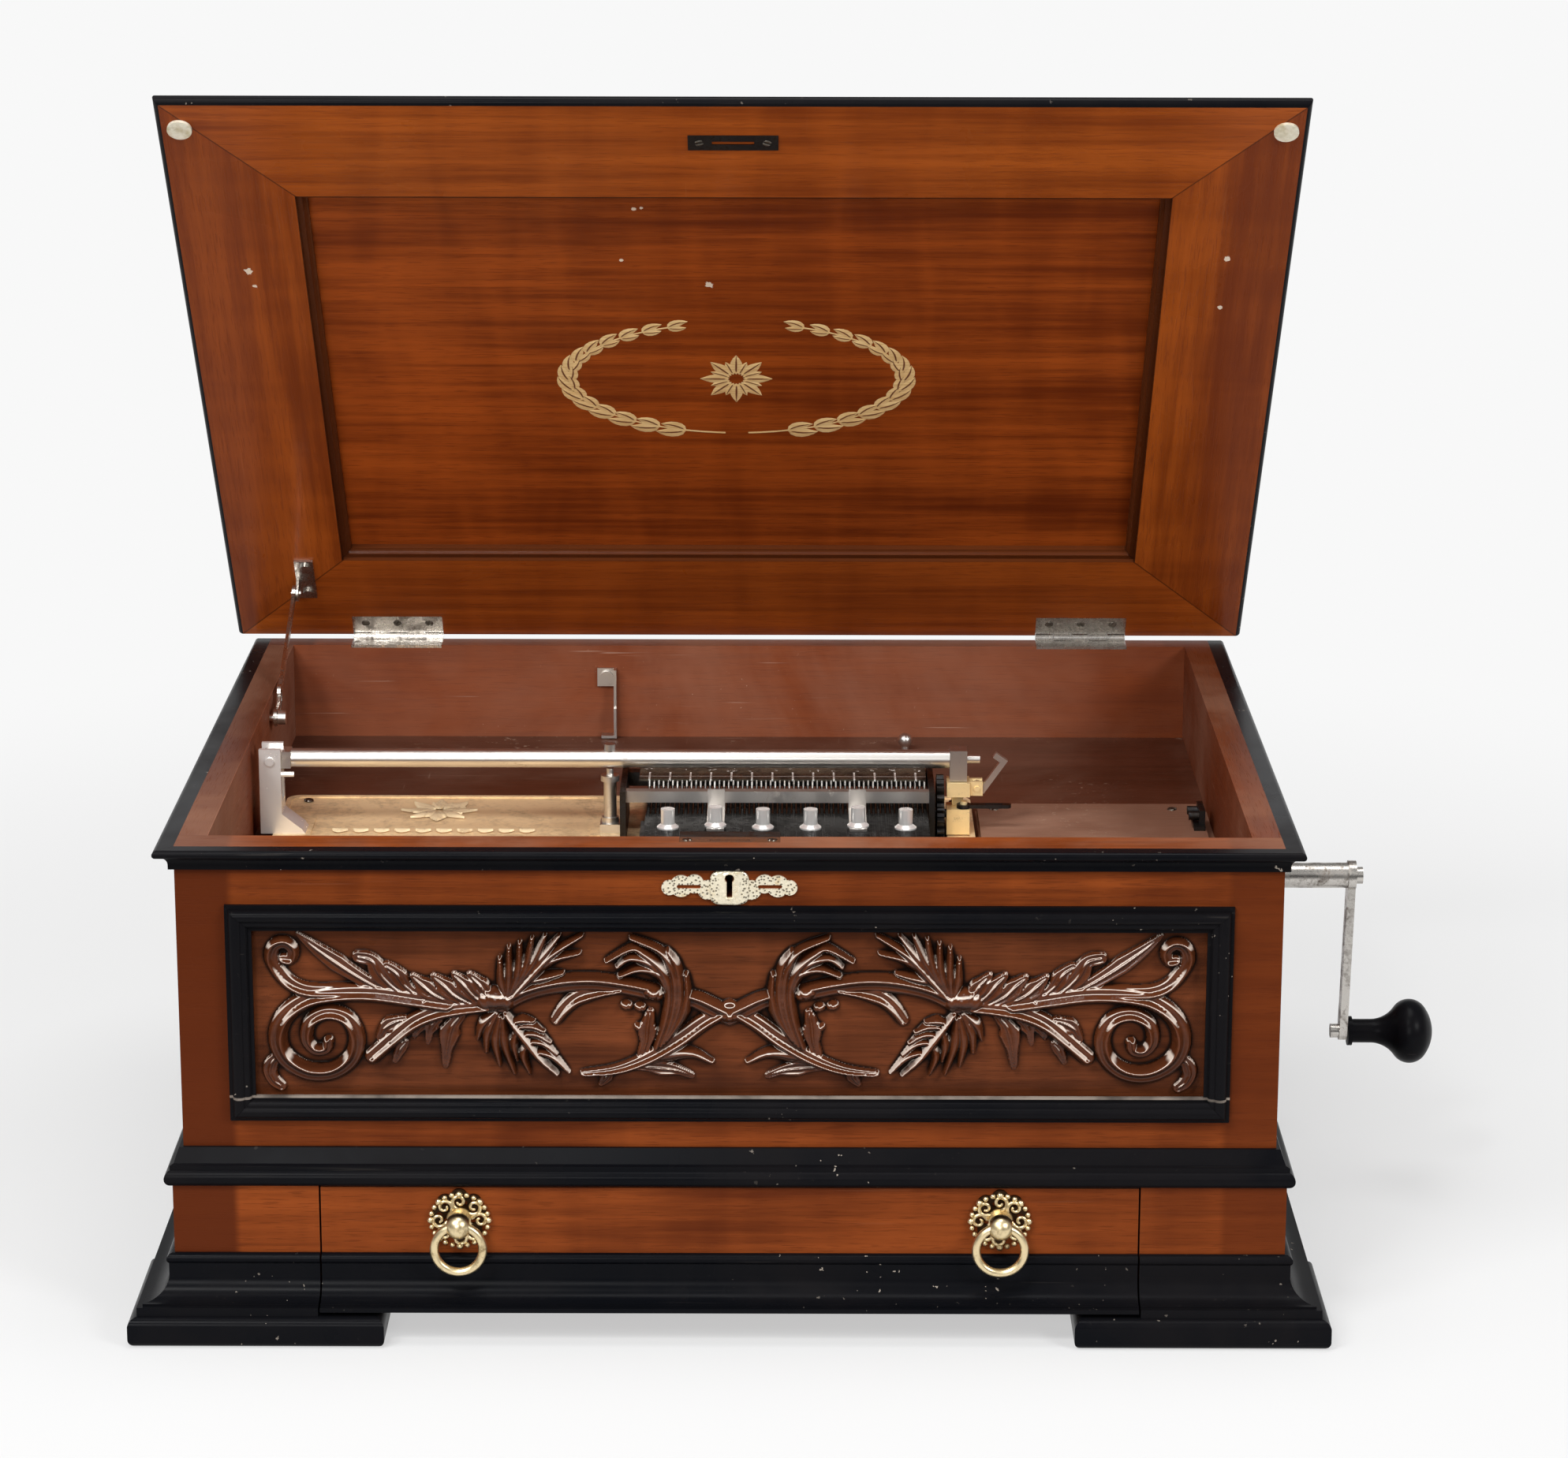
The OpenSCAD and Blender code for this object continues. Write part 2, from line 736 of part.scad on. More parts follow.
module case_back() {
  color(mahogany) difference() {
    block([-x_side, y_in_back, z_floor], [x_side, y_back, z_rim]);
    both_sides() translate([hinge_x, 0, 0]) {
      block([-hinge_w / 2 - let_in, y_in_back - 1, z_rim - leaf_t],
            [hinge_w / 2 + let_in, y_back + 1, z_rim + 1]);
      rod_x(-hinge_w / 2 - let_in, hinge_w / 2 + let_in, hinge_y, hinge_z, knuckle_r + clear);
    }
  }
}

module rim_profile() {
  r = rim_nose / 2;
  foot = 3.5;
  z0 = z_rim - rim_h;
  cove = rim_h - rim_nose - 3;
  translate([0, z0]) square([foot, rim_h]);
  translate([0, z_rim - rim_nose]) square([rim_out - r, rim_nose]);
  translate([rim_out - r, z_rim - r]) circle(r);
  difference() {
    translate([0, z0 + 3]) square([rim_out - r, cove + 0.5]);
    translate([foot + cove, z0 + 3]) circle(cove);
  }
}

module rim_moulding() {
  color(ebony) three_runs(case_w, y_front, y_back, rim_out) rim_profile();
}

// Profile of the panel moulding: (inwards from its outer edge, outwards from the front)
module panel_profile() {
  r = panel_mould_w / 4;
  inner_r = (panel_mould_out - 2) / 2;
  margin = 2.5;
  square([panel_mould_w, 3]);
  translate([margin, 0]) square([panel_mould_w - 2 * margin, panel_mould_out - r]);
  translate([margin + r, panel_mould_out - r]) circle(r);
  translate([panel_mould_w - margin - inner_r, inner_r]) circle(inner_r);
}

// One run of the panel moulding, drawn along the bottom of a frame and cut by its mitres
module panel_run(w, h) {
  across = min(w, h) / 2;
  intersection() {
    translate([-w / 2, y_front, -h / 2])
      rotate([180, 0, 0]) rotate([0, 90, 0]) linear_extrude(w) panel_profile();
    plate_y(y_front + 1, panel_mould_out + 2)
      polygon([
        [-w / 2 + mitre_gap, -h / 2], [w / 2 - mitre_gap, -h / 2],
        [w / 2 - across - mitre_gap, across - h / 2], [-w / 2 + across + mitre_gap, across - h / 2]
      ]);
  }
}

module panel_frame() {
  color(ebony) translate([0, 0, z_panel]) {
    for (a = [0, 180]) rotate([0, a, 0]) panel_run(panel_w, panel_h);
    for (a = [90, -90]) rotate([0, a, 0]) panel_run(panel_h, panel_w);
  }
}

module carved_panel() {
  w = panel_open_w / 2 - let_in;
  h = panel_open_h / 2 - let_in;
  y0 = y_front + panel_sunk;
  color(ground) block([-w, y0, z_panel - h], [w, y0 + panel_t, z_panel + h]);
}

// Pierced scrolls of the escutcheon, right half
module escutcheon_half() {
  reach = escutcheon_l / 2;
  // Back from the tip, up, and radius of each lobe of the wing
  lobes = [[6, 0, 5], [13.5, 1, 7.2], [22, 2.5, 6.2], [30.5, -1.5, 6.4]];
  slot_in = 12;
  slot_l = 13;
  slot_r = 1.3;
  difference() {
    union() {
      for (lobe = lobes) translate([reach - lobe[0], lobe[1]]) circle(lobe[2]);
      translate([6, -4.5]) square([reach - 36, 6.5]);
    }
    for (x = [slot_in, slot_in + slot_l]) translate([reach - x, 0.6]) circle(slot_r);
    translate([reach - slot_in - slot_l, 0.6 - slot_r]) square([slot_l, 2 * slot_r]);
  }
}

module escutcheon_outline() {
  difference() {
    union() {
      square([15, 17], center = true);
      for (x = [-7, 7]) translate([x, 7]) circle(4.2);
      for (x = [-4.5, 4.5]) translate([x, -7.4]) circle(3.8);
      escutcheon_half();
      mirror([1, 0]) escutcheon_half();
    }
    translate([0, keyhole_up]) circle(keyhole_r);
    translate([-keyhole_w / 2, -keyhole_low]) square([keyhole_w, keyhole_low + keyhole_up]);
    for (x = [-6.5, 6.5]) translate([x, 0]) circle(1.3);
  }
}

module escutcheon() {
  color(brass) translate([0, 0, escutcheon_z]) plate_y(y_front, escutcheon_t) escutcheon_outline();
}

lock_in = 13;
lock_plate_t = 1.6;
module lock_plate_space() {
  block([-lock_l / 2, y_in_front - lock_in, z_rim - lock_plate_t], [lock_l / 2, y_in_front + 1, z_rim + 1]);
}

// Lock case on the front board's inner side with its plate let into the rim
module lock() {
  h = 40;
  thick = 12;
  x = lock_l / 2 - let_in;
  color(brass) difference() {
    union() {
      block([-x, y_in_front - lock_in + let_in, z_rim - lock_plate_t],
            [x, y_in_front + thick, z_rim - let_in]);
      block([-x + 4, y_in_front, z_rim - h], [x - 4, y_in_front + thick, z_rim - lock_plate_t]);
    }
    block([-13, y_in_front - 9, z_rim - 5], [13, y_in_front - 6, z_rim + 1]);
  }
}

// Deck and movement

module deck_slot(z0, z1) {
  block([slot_x0, slot_y0, z0], [slot_x1, slot_y1, z1]);
}

module deck() {
  color(mahogany) difference() {
    block([-x_in + let_in, y_in_front + let_in, z_deck - deck_t],
          [x_in - let_in, y_in_back - let_in, z_deck]);
    deck_slot(z_deck - deck_t - 1, z_deck + 1);
  }
}

module motor_cover() {
  color(mahogany)
    block([cover_x0, y_in_front + 4, z_deck], [cover_x1, bar_y + 66, z_deck + cover_t]);
}

// Catch that holds the motor cover down at the right side board
module cover_catch() {
  z0 = z_deck + cover_t;
  x0 = cover_x1 - 9;
  color(steel) {
    block([x0, bar_y - 3, z0], [x0 + 8, bar_y + 33, z0 + 3]);
    block([x0 + 4, bar_y + 2, z0 + 3], [x0 + 8, bar_y + 28, z0 + 13]);
    rod_x(x0 - 3, x0 + 4, bar_y + 8, z0 + 8, 3);
    rod_x(x0 - 3, x0 + 4, bar_y + 22, z0 + 8, 3);
  }
}

module bed_outline(inset) {
  r = 10;
  x0 = bed_x0 + inset;
  x1 = bed_x1 - inset;
  y0 = bar_y - bed_front + inset;
  y1 = bar_y + bed_back - inset;
  translate([x0 + r, y0]) square([x1 - x0 - 2 * r, y1 - y0]);
  translate([x0, y0 + r]) square([x1 - x0, y1 - y0 - 2 * r]);
  for (x = [x0 + r, x1 - r], y = [y0 + r, y1 - r]) translate([x, y]) circle(r);
}

module bedplate() {
  lip = 1;
  color(gilt) difference() {
    translate([0, 0, z_deck]) linear_extrude(bed_t) bed_outline(0);
    translate([0, 0, z_bed - lip]) linear_extrude(lip + 1) difference() {
      bed_outline(4);
      translate([gantry_left - 14, bar_y - bed_front]) square([bed_x1, bed_front + bed_back]);
      translate([bed_x0, bar_y - bar_seat_w / 2]) square([bar_seat_l, bar_seat_w]);
      translate([spindle_x, bar_y]) square(spindle_seat, center = true);
    }
    deck_slot(z_deck - 1, z_bed + 1);
  }
}

module comb_base() {
  x0 = stars_x - 3;
  x1 = gantry_right - 1;
  color(steel)
    block([x0, comb_front, z_bed], [x1, comb_back_root - 4, comb_top - comb_t]);
}

// Comb outline: one solid root with a row of teeth
function comb_points() =
  let (w = (star_pitch - comb_slot) / 2)
  concat(
    [[stars_x, comb_front], [stars_x, comb_back_root]],
    [for (i = [0:teeth - 1], p = [[-1, 0], [-1, 1], [1, 1], [1, 0]])
      [stars_x + (i + 0.5) * star_pitch + p[0] * w,
       p[1] > 0 ? comb_tip : comb_back_root + 3 * i / teeth]],
    [[stars_x + stars_l, comb_back_root], [stars_x + stars_l, comb_front]]
  );

function comb_screw_x(i) = stars_x + stars_l * (i + 0.5) / comb_screw_n;
clip_at = [1, comb_screw_n - 2];
function clip_here(i) = len(search(i, clip_at)) > 0;
clip_t = 1.5;
comb_bolt_r = 3;

module comb() {
  color(steel) difference() {
    translate([0, 0, comb_top - comb_t]) linear_extrude(comb_t) polygon(comb_points());
    for (i = [0:comb_screw_n - 1])
      rod_z(comb_top - comb_t - 1, comb_top + 1, comb_screw_x(i), comb_screw_y, comb_bolt_r + let_in);
  }
}

module comb_screw(x, z) {
  translate([x, comb_screw_y, z]) difference() {
    union() {
      cylinder(h = 1, r = 7.5);
      translate([0, 0, 1]) cylinder(h = 2, r1 = 7.5, r2 = 5);
      translate([0, 0, 3]) cylinder(h = comb_screw_h - 3, r = 4.8);
      translate([0, 0, comb_top - comb_t - z]) cylinder(h = z - comb_top + comb_t + 1, r = comb_bolt_r);
    }
    translate([-6, -0.6, comb_screw_h - 1.6]) cube([12, 1.2, 3]);
  }
}

module comb_screws() {
  color(nickel) for (i = [0:comb_screw_n - 1])
    comb_screw(comb_screw_x(i), comb_top + (clip_here(i) ? clip_t : 0));
}

// End plates and rear beam that carry the star wheel shaft
module gantry() {
  color(steel) {
    difference() {
      block([gantry_left, gantry_y0, z_bed], [gantry_left + gantry_t, gantry_y1, gantry_top]);
      rod_x(gantry_left - 1, gantry_left + gantry_t + 1, bar_y, star_z, star_shaft_r + run_fit);
    }
    difference() {
      block([gantry_right, gantry_y0, z_bed], [gantry_right + gantry_t, gantry_y1, gantry_top]);
      rod_x(gantry_right - 1, gantry_right + gantry_t + 1, bar_y, star_z, star_shaft_r + run_fit);
      rod_x(gantry_right - 1, gantry_right + gantry_t + 1, bar_y, sprocket_z, train_arbor_r + run_fit);
    }
    block([gantry_left + gantry_t + let_in, gantry_y1 - beam_t - 2, gantry_top - beam_t - 4],
          [gantry_right - let_in, gantry_y1 - 2, gantry_top - 4]);
  }
}

module scale_plate() {
  color(nickel)
    block([gantry_left + gantry_t + 8, scale_y, gantry_top - 4],
          [gantry_right - 1, gantry_y1 - 2, gantry_top - 2.5]);
}

// Rail in front of the star wheels, held by two clips under comb screws
module damper_rail() {
  color(nickel) {
    block([gantry_left + gantry_t, rail_y, rail_z], [gantry_right, rail_y + rail_w, rail_z + rail_h]);
    for (i = clip_at) translate([comb_screw_x(i), 0, 0]) difference() {
      union() {
        block([-6, comb_screw_y - 8, comb_top], [6, rail_y, comb_top + clip_t]);
        block([-6, rail_y - clip_t, comb_top], [6, rail_y, rail_z + rail_h + 2]);
      }
      rod_z(comb_top - 1, comb_top + clip_t + 1, 0, comb_screw_y, comb_bolt_r + let_in);
    }
  }
}

// Left post: two cheeks on a foot, with the pin that the bar turns on
post_cheek = 4;
post_gap = 15;
post_w = 15;
module bar_post() {
  y0 = bar_y - post_gap / 2 - post_cheek;
  y1 = bar_y + post_gap / 2 + post_cheek;
  x0 = post_x - post_w / 2;
  x1 = post_x + post_w / 2;
  top = bar_z + bar_r + 2;
  color(nickel) {
    for (y = [y0, y1 - post_cheek]) block([x0, y, z_bed], [x1, y + post_cheek, top]);
    block([x0, y0, z_bed], [x1, y1, z_bed + 22]);
    plate_y(y1, y1 - y0)
      polygon([[x1, z_bed], [x1 + 16, z_bed], [x1 + 14, z_bed + 3], [x1, z_bed + 14]]);
    rod_y(y0 - 1.5, y1 + 1.5, post_x, bar_z, bar_pin_r);
    rod_x(post_x, x1 + 9, y0 + post_cheek / 2, bar_z - bar_r - 3, post_cheek / 2 - 0.2);
  }
}

// Turned post with a square foot and the pin that centres the disc
module spindle_post() {
  color(nickel) translate([spindle_x, bar_y, 0]) {
    block([-7, -8, z_bed], [7, 8, z_bed + 6]);
    rod_z(z_bed + 6, z_bed + 10, 0, 0, 6);
    rod_z(z_bed + 6, z_disc - 4, 0, 0, 4.5);
    rod_z(z_disc - 4, z_disc, 0, 0, 6.5);
    rod_z(z_disc - 1, z_disc + spindle_pin, 0, 0, spindle_r);
  }
}

// Right post: brass blocks on a column, bored for the sprocket's shaft, with ears for the latch
latch_w = 16;
latch_t = 5;
latch_pin_r = 2;
latch_turn = 35;
latch_eye = 4.5;
latch_pivot = [latch_x + latch_w / 2 + latch_eye + 2 * clear, bar_z - 20];
low_block_top = z_bed + 18;
lever_pin_r = 2.5;
module latch_post() {
  x0 = latch_x - latch_w / 2;
  x1 = latch_x + latch_w / 2;
  seat = bar_z - 15;
  ear = latch_t / 2 + clear;
  color(brass) difference() {
    union() {
      block([x0, bar_y - 10, z_bed], [x1, bar_y + 10, low_block_top]);
      block([latch_x - 4, bar_y + 2, low_block_top], [latch_x + 4, bar_y + 10, seat - 10]);
      block([x0, bar_y - 10, seat - 10], [x1, bar_y + 10, seat]);
      for (y = [bar_y - ear - 3, bar_y + ear])
        block([x1 - 1, y, seat - 10], [latch_pivot[0] + 4, y + 3, seat]);
      rod_y(bar_y - ear - 4, bar_y + ear + 4, latch_pivot[0], latch_pivot[1], latch_pin_r);
      rod_z(low_block_top, low_block_top + 5, latch_x + 4, bar_y - 5, lever_pin_r);
    }
    rod_x(x0 - 1, x1 - 3, bar_y, sprocket_z, train_arbor_r + run_fit);
  }
}

// Lid fittings

module knuckle_span(i) {
  w = hinge_w / knuckles;
  x = -hinge_w / 2 + i * w;
  rod_x(x + clear / 2, x + w - clear / 2, hinge_y, hinge_z, knuckle_r);
}

module hinge_case_leaves() {
  w = hinge_w / knuckles;
  color(nickel) for (s = [-1, 1]) translate([s * hinge_x, 0, 0]) {
    block([-hinge_w / 2, y_in_back, z_rim - leaf_t],
          [hinge_w / 2, hinge_y - knuckle_r - clear, z_rim]);
    for (i = [0:2:knuckles - 1]) {
      knuckle_span(i);
      block([-hinge_w / 2 + i * w + clear / 2, hinge_y - knuckle_r - 1, z_rim - leaf_t],
            [-hinge_w / 2 + (i + 1) * w - clear / 2, hinge_y, z_rim]);
    }
    rod_x(-hinge_w / 2 + 1, hinge_w / 2 - 1, hinge_y, hinge_z, hinge_pin_r);
  }
}

module hinge_lid_leaves() {
  w = hinge_w / knuckles;
  color(nickel) opened() for (s = [-1, 1]) translate([s * hinge_x, 0, 0]) difference() {
    union() {
      block([-hinge_w / 2, y_back - lid_leaf, lid_z],
            [hinge_w / 2, hinge_y - knuckle_r - clear, lid_z + leaf_t]);
      for (i = [1:2:knuckles - 1]) {
        knuckle_span(i);
        block([-hinge_w / 2 + i * w + clear / 2, hinge_y - knuckle_r - 1, lid_z],
              [-hinge_w / 2 + (i + 1) * w - clear / 2, hinge_y, lid_z + leaf_t]);
      }
    }
    rod_x(-hinge_w, hinge_w, hinge_y, hinge_z, hinge_pin_r + run_fit);
  }
}

// Space in the lid for the hinge leaf and the turning knuckles
module hinge_space() {
  for (s = [-1, 1]) translate([s * hinge_x, 0, 0]) {
    block([-hinge_w / 2 - let_in, y_back - lid_leaf - let_in, lid_z - 1],
          [hinge_w / 2 + let_in, y_back + 1, lid_z + leaf_t]);
    rod_x(-hinge_w / 2 - let_in, hinge_w / 2 + let_in, hinge_y, hinge_z, knuckle_r + clear);
  }
}

// Rail section: (inwards from the outer edge, upwards from the inner face)
module rail_profile(w) {
  groove = lid_tongue + let_in;
  z0 = lid_sunk - let_in;
  z1 = lid_sunk + lid_panel_t + let_in;
  step = 3;
  difference() {
    polygon([
      [0, 0], [w - lid_step, 0], [w - lid_step, step], [w, step], [w, z0], [w - groove, z0],
      [w - groove, z1], [w, z1], [w, z1 + 1], [w - 9, lid_t], [lid_slope, lid_t], [0, lid_edge_h]
    ]);
    translate([w + 0.5, step - 0.5]) circle(3.5);
  }
}

module lid_rails() {
  x = lid_out_w / 2;
  y0 = lid_frame_front;
  y1 = y_back;
  g = mitre_gap;
  inside = [[-panel_x, panel_y0], [panel_x, panel_y0], [panel_x, panel_y1], [-panel_x, panel_y1]];
  intersection() {
    translate([-x, y0, lid_z]) rotate([90, 0, 90]) linear_extrude(2 * x) rail_profile(lid_front_rail);
    translate([0, 0, lid_z - 1]) linear_extrude(lid_t + 2)
      polygon([[-x + g, y0], [x - g, y0], inside[1] - [g, 0], inside[0] + [g, 0]]);
  }
  difference() {
    intersection() {
      translate([-x, y1, lid_z]) rotate([90, 0, 90]) linear_extrude(2 * x)
        mirror([1, 0]) rail_profile(lid_rail);
      translate([0, 0, lid_z - 1]) linear_extrude(lid_t + 2)
        polygon([[-x + g, y1], [x - g, y1], inside[2] - [g, 0], inside[3] + [g, 0]]);
    }
    hinge_space();
  }
  both_sides() intersection() {
    translate([x, y1, lid_z]) rotate([90, 0, 0]) linear_extrude(y1 - y0)
      mirror([1, 0]) rail_profile(lid_stile);
    translate([0, 0, lid_z - 1]) linear_extrude(lid_t + 2)
      polygon([[x, y0], [x, y1], inside[2], inside[1]]);
  }
}

module lid_frame() {
  color(mahogany) opened() lid_rails();
}

module lid_panel() {
  t = lid_tongue;
  color(mahogany) opened()
    block([-panel_x - t, panel_y0 - t, lid_z + lid_sunk],
          [panel_x + t, panel_y1 + t, lid_z + lid_sunk + lid_panel_t]);
}

// Rounded nosing, drawn in (outwards, height)
module nosing_profile() {
  r = (nosing_w * nosing_w + lid_edge_h * lid_edge_h / 4) / (2 * nosing_w);
  intersection() {
    translate([0, lid_z]) square([nosing_w, lid_edge_h]);
    translate([nosing_w - r, lid_z + lid_edge_h / 2]) circle(r);
  }
}

module lid_edge() {
  color(ebony) opened() three_runs(lid_out_w, lid_frame_front, y_back, nosing_w) nosing_profile();
}

module lid_pads() {
  x = lid_w / 2 - pad_in;
  color(ivory) opened() both_sides()
    rod_z(lid_z - lid_gap + clear, lid_z, x, lid_front + pad_in + 10, pad_d / 2);
}

module strike_plate() {
  y = y_in_front - lock_in / 2 - 1;
  color(steel) opened() difference() {
    block([-30, y - 6.8, lid_z - 0.8], [30, y + 6.8, lid_z]);
    block([-14, y - 1.5, lid_z - 2], [14, y + 1.5, lid_z + 1]);
  }
}

// Bracket on the lid with an ear for the stay's rivet
module stay_bracket() {
  x0 = stay_x + stay_t + clear;
  color(nickel) opened() {
    block([x0, pivot_closed[0] - 29, lid_z - 2], [x0 + 14, pivot_closed[0] + 15, lid_z]);
    plate_x(x0, 2) union() {
      translate([pivot_closed[0] - stay_eye, pivot_closed[1]]) square([2 * stay_eye, stay_drop - 1]);
      translate(pivot_closed) circle(stay_eye);
    }
    rod_x(stay_x - 1, x0 + 3.5, pivot_closed[0], pivot_closed[1], stay_pin_r);
    for (d = [-22, 8]) rod_z(lid_z - 4, lid_z - 1, x0 + 8, pivot_closed[0] + d, 4);
  }
}

// Band of a given half width along the path of the stud in the bar
module slot_band(half) {
  path = [for (i = [0:slot_steps]) slot_at(i / slot_steps)];
  function across(i) =
    let (d = path[min(i + 1, slot_steps)] - path[max(i - 1, 0)])
    [-d[1], d[0]] * half / norm(d);
  polygon(concat(
    [for (i = [0:slot_steps]) path[i] + across(i)],
    [for (i = [slot_steps:-1:0]) path[i] - across(i)]
  ));
  translate(path[0]) circle(half);
  translate(path[slot_steps]) circle(half);
}

// Flat bar from the lid's bracket with a curved slot on the stud; drawn with its eye at zero
module stay_outline() {
  near = slot_at(0);
  difference() {
    union() {
      circle(stay_eye);
      translate([0, -stay_w / 2]) square([near[0], stay_w]);
      slot_band(slot_half + stay_w / 2);
    }
    circle(stay_pin_r + run_fit);
    slot_band(slot_half);
  }
}

module lid_stay() {
  rest = pivot_at(lid_open);
  color(nickel) plate_x(stay_x, stay_t)
    translate(rest) mirror([1, 0]) rotate(-stay_tilt) stay_outline();
}

deck_stud_in = 38;
// Headed stud for the stay, round-headed stud on the deck and the screw that the prop arm hangs on
module studs() {
  color(nickel) {
    rod_x(-x_in, stay_x + stay_t + 4, stud_y, stud_z, stud_r);
    rod_x(stay_x + stay_t + clear, stay_x + stay_t + 6, stud_y, stud_z, stud_r + 2.5);
    translate([gantry_right - 10, y_in_back - deck_stud_in, z_deck]) {
      cylinder(h = 5, r = 3);
      translate([0, 0, 8]) sphere(5.5);
    }
    rod_y(prop_y - prop_t - 1.5, y_in_back, prop_x, prop_z, prop_screw_r);
    rod_y(prop_y - prop_t - clear - 2, prop_y - prop_t - clear, prop_x, prop_z, prop_screw_r + 2);
  }
}

// Pressure bar, hinged on the left post

module pressure_bar() {
  eye = post_gap / 2 - clear;
  head = 6;
  head_low = bar_z - 15 + 2 * clear;
  eye_l = 14;
  color(nickel) difference() {
    union() {
      rod_y(bar_y - eye, bar_y + eye, post_x, bar_z, bar_r);
      block([post_x, bar_y - eye, bar_z - bar_r + 0.5], [post_x + eye_l, bar_y + eye, bar_z + bar_r - 0.5]);
      rod_x(post_x + eye_l + let_in, latch_x - head - let_in, bar_y, bar_z, bar_r);
      block([latch_x - head, bar_y - 7, head_low], [latch_x + head, bar_y + 7, bar_z + bar_r + 1]);
      rod_x(latch_x + head + let_in, latch_pivot[0] + 2, bar_y, bar_z, 3);
      rod_z(bar_z, bar_z + bar_r + 4, spindle_x, bar_y, 4);
    }
    rod_y(bar_y - 20, bar_y + 20, post_x, bar_z, bar_pin_r + run_fit);
  }
}

// Hook that turns over the bar's end; drawn turned back, clear of the bar
module bar_latch() {
  reach = bar_z - latch_pivot[1];
  color(nickel) translate([latch_pivot[0], bar_y, latch_pivot[1]]) rotate([0, latch_turn, 0])
    plate_y(latch_t / 2, latch_t) difference() {
      union() {
        circle(latch_eye);
        translate([2.5, -1]) square([4, reach + 9]);
        translate([-3.5, reach + 4]) square([10, 4]);
      }
      circle(latch_pin_r + run_fit);
    }
}

module star_wheels() {
  function star() = [for (k = [0:2 * star_points - 1])
    polar(k % 2 == 0 ? star_r : 0.62 * star_r, 180 * k / star_points)];
  color(nickel) {
    rod_x(gantry_left + 0.5, gantry_right + gantry_t - 0.5, bar_y, star_z, star_shaft_r);
    for (i = [0:teeth - 1])
      translate([stars_x + (i + 0.5) * star_pitch - star_t / 2, bar_y, star_z])
        rotate([90, 0, 90]) linear_extrude(star_t) difference() {
          rotate(i * 17) polygon(star());
          circle(star_shaft_r + 0.02);
        }
  }
}

// Motor

module motor_plates() {
  bores = [
    [bar_y, barrel_z, barrel_arbor_r],
    [second_y, second_z, train_arbor_r],
    [governor_y, governor_z, train_arbor_r]
  ];
  top = z_deck - deck_t;
  color(brass) {
    for (x = [plate_x0, plate_x1]) difference() {
      block([x, plate_y0, plate_low], [x + plate_t, plate_y1, top]);
      for (b = bores) rod_x(x - 1, x + plate_t + 1, b[0], b[1], b[2] + run_fit);
      if (x == plate_x1) rod_x(x - 1, x + plate_t + 1, bar_y, crank_z, arbor_r + run_fit);
    }
    for (p = pillars) rod_x(plate_x0 + plate_t + let_in, plate_x1 - let_in, p[0], p[1], pillar_r);
  }
}

module drive_sprocket() {
  color(steel) {
    rod_x(gantry_right + 0.3, latch_x + latch_w / 2 - 3.5, bar_y, sprocket_z, train_arbor_r);
    gear(sprocket_x, sprocket_t, bar_y, sprocket_z, sprocket_teeth, sprocket_phase);
  }
}

module second_wheel() {
  color(brass) {
    rod_x(plate_x0, plate_x1 + plate_t, second_y, second_z, train_arbor_r);
    gear(sprocket_x, sprocket_t, second_y, second_z, second_teeth, second_phase);
    gear(great_x - 1, wheel_t + 2, second_y, second_z, pinion_teeth, second_pinion_phase);
  }
}

module governor_fan() {
  fan_x = great_x + wheel_t + 10;
  color(brass) {
    rod_x(plate_x0, plate_x1 + plate_t, governor_y, governor_z, train_arbor_r);
    gear(sprocket_x - 1, sprocket_t + 2, governor_y, governor_z, pinion_teeth, governor_phase);
    block([fan_x, governor_y - 17, governor_z - 0.8], [fan_x + 50, governor_y + 17, governor_z + 0.8]);
  }
}

module spring_barrel() {
  color(brass) difference() {
    union() {
      gear(great_x, wheel_t, bar_y, barrel_z, wheel_teeth, great_phase);
      rod_x(great_x, great_x + wheel_t + barrel_l, bar_y, barrel_z, barrel_r);
    }
    rod_x(great_x - 1, great_x + wheel_t + barrel_l + 1, bar_y, barrel_z, barrel_arbor_r + run_fit);
  }
}

module winding_wheel() {
  color(brass) {
    rod_x(plate_x0, plate_x1 + plate_t, bar_y, barrel_z, barrel_arbor_r);
    gear(winding_x, wheel_t, bar_y, barrel_z, wheel_teeth, winding_phase);
  }
}

// Crank

module arbor_bush() {
  color(brass) difference() {
    union() {
      rod_x(x_in, x_side + bush_flange - 0.5, bar_y, crank_z, sleeve_r);
      rod_x(x_side, x_side + bush_flange, bar_y, crank_z, 17);
    }
    rod_x(x_in - 1, x_side + bush_flange + 1, bar_y, crank_z, arbor_r + run_fit);
  }
}

module winding_arbor() {
  color(nickel) {
    rod_x(winding_x - 4, crank_x - 8, bar_y, crank_z, arbor_r);
    gear(winding_x - 1, wheel_t + 2, bar_y, crank_z, pinion_teeth, arbor_phase);
  }
}

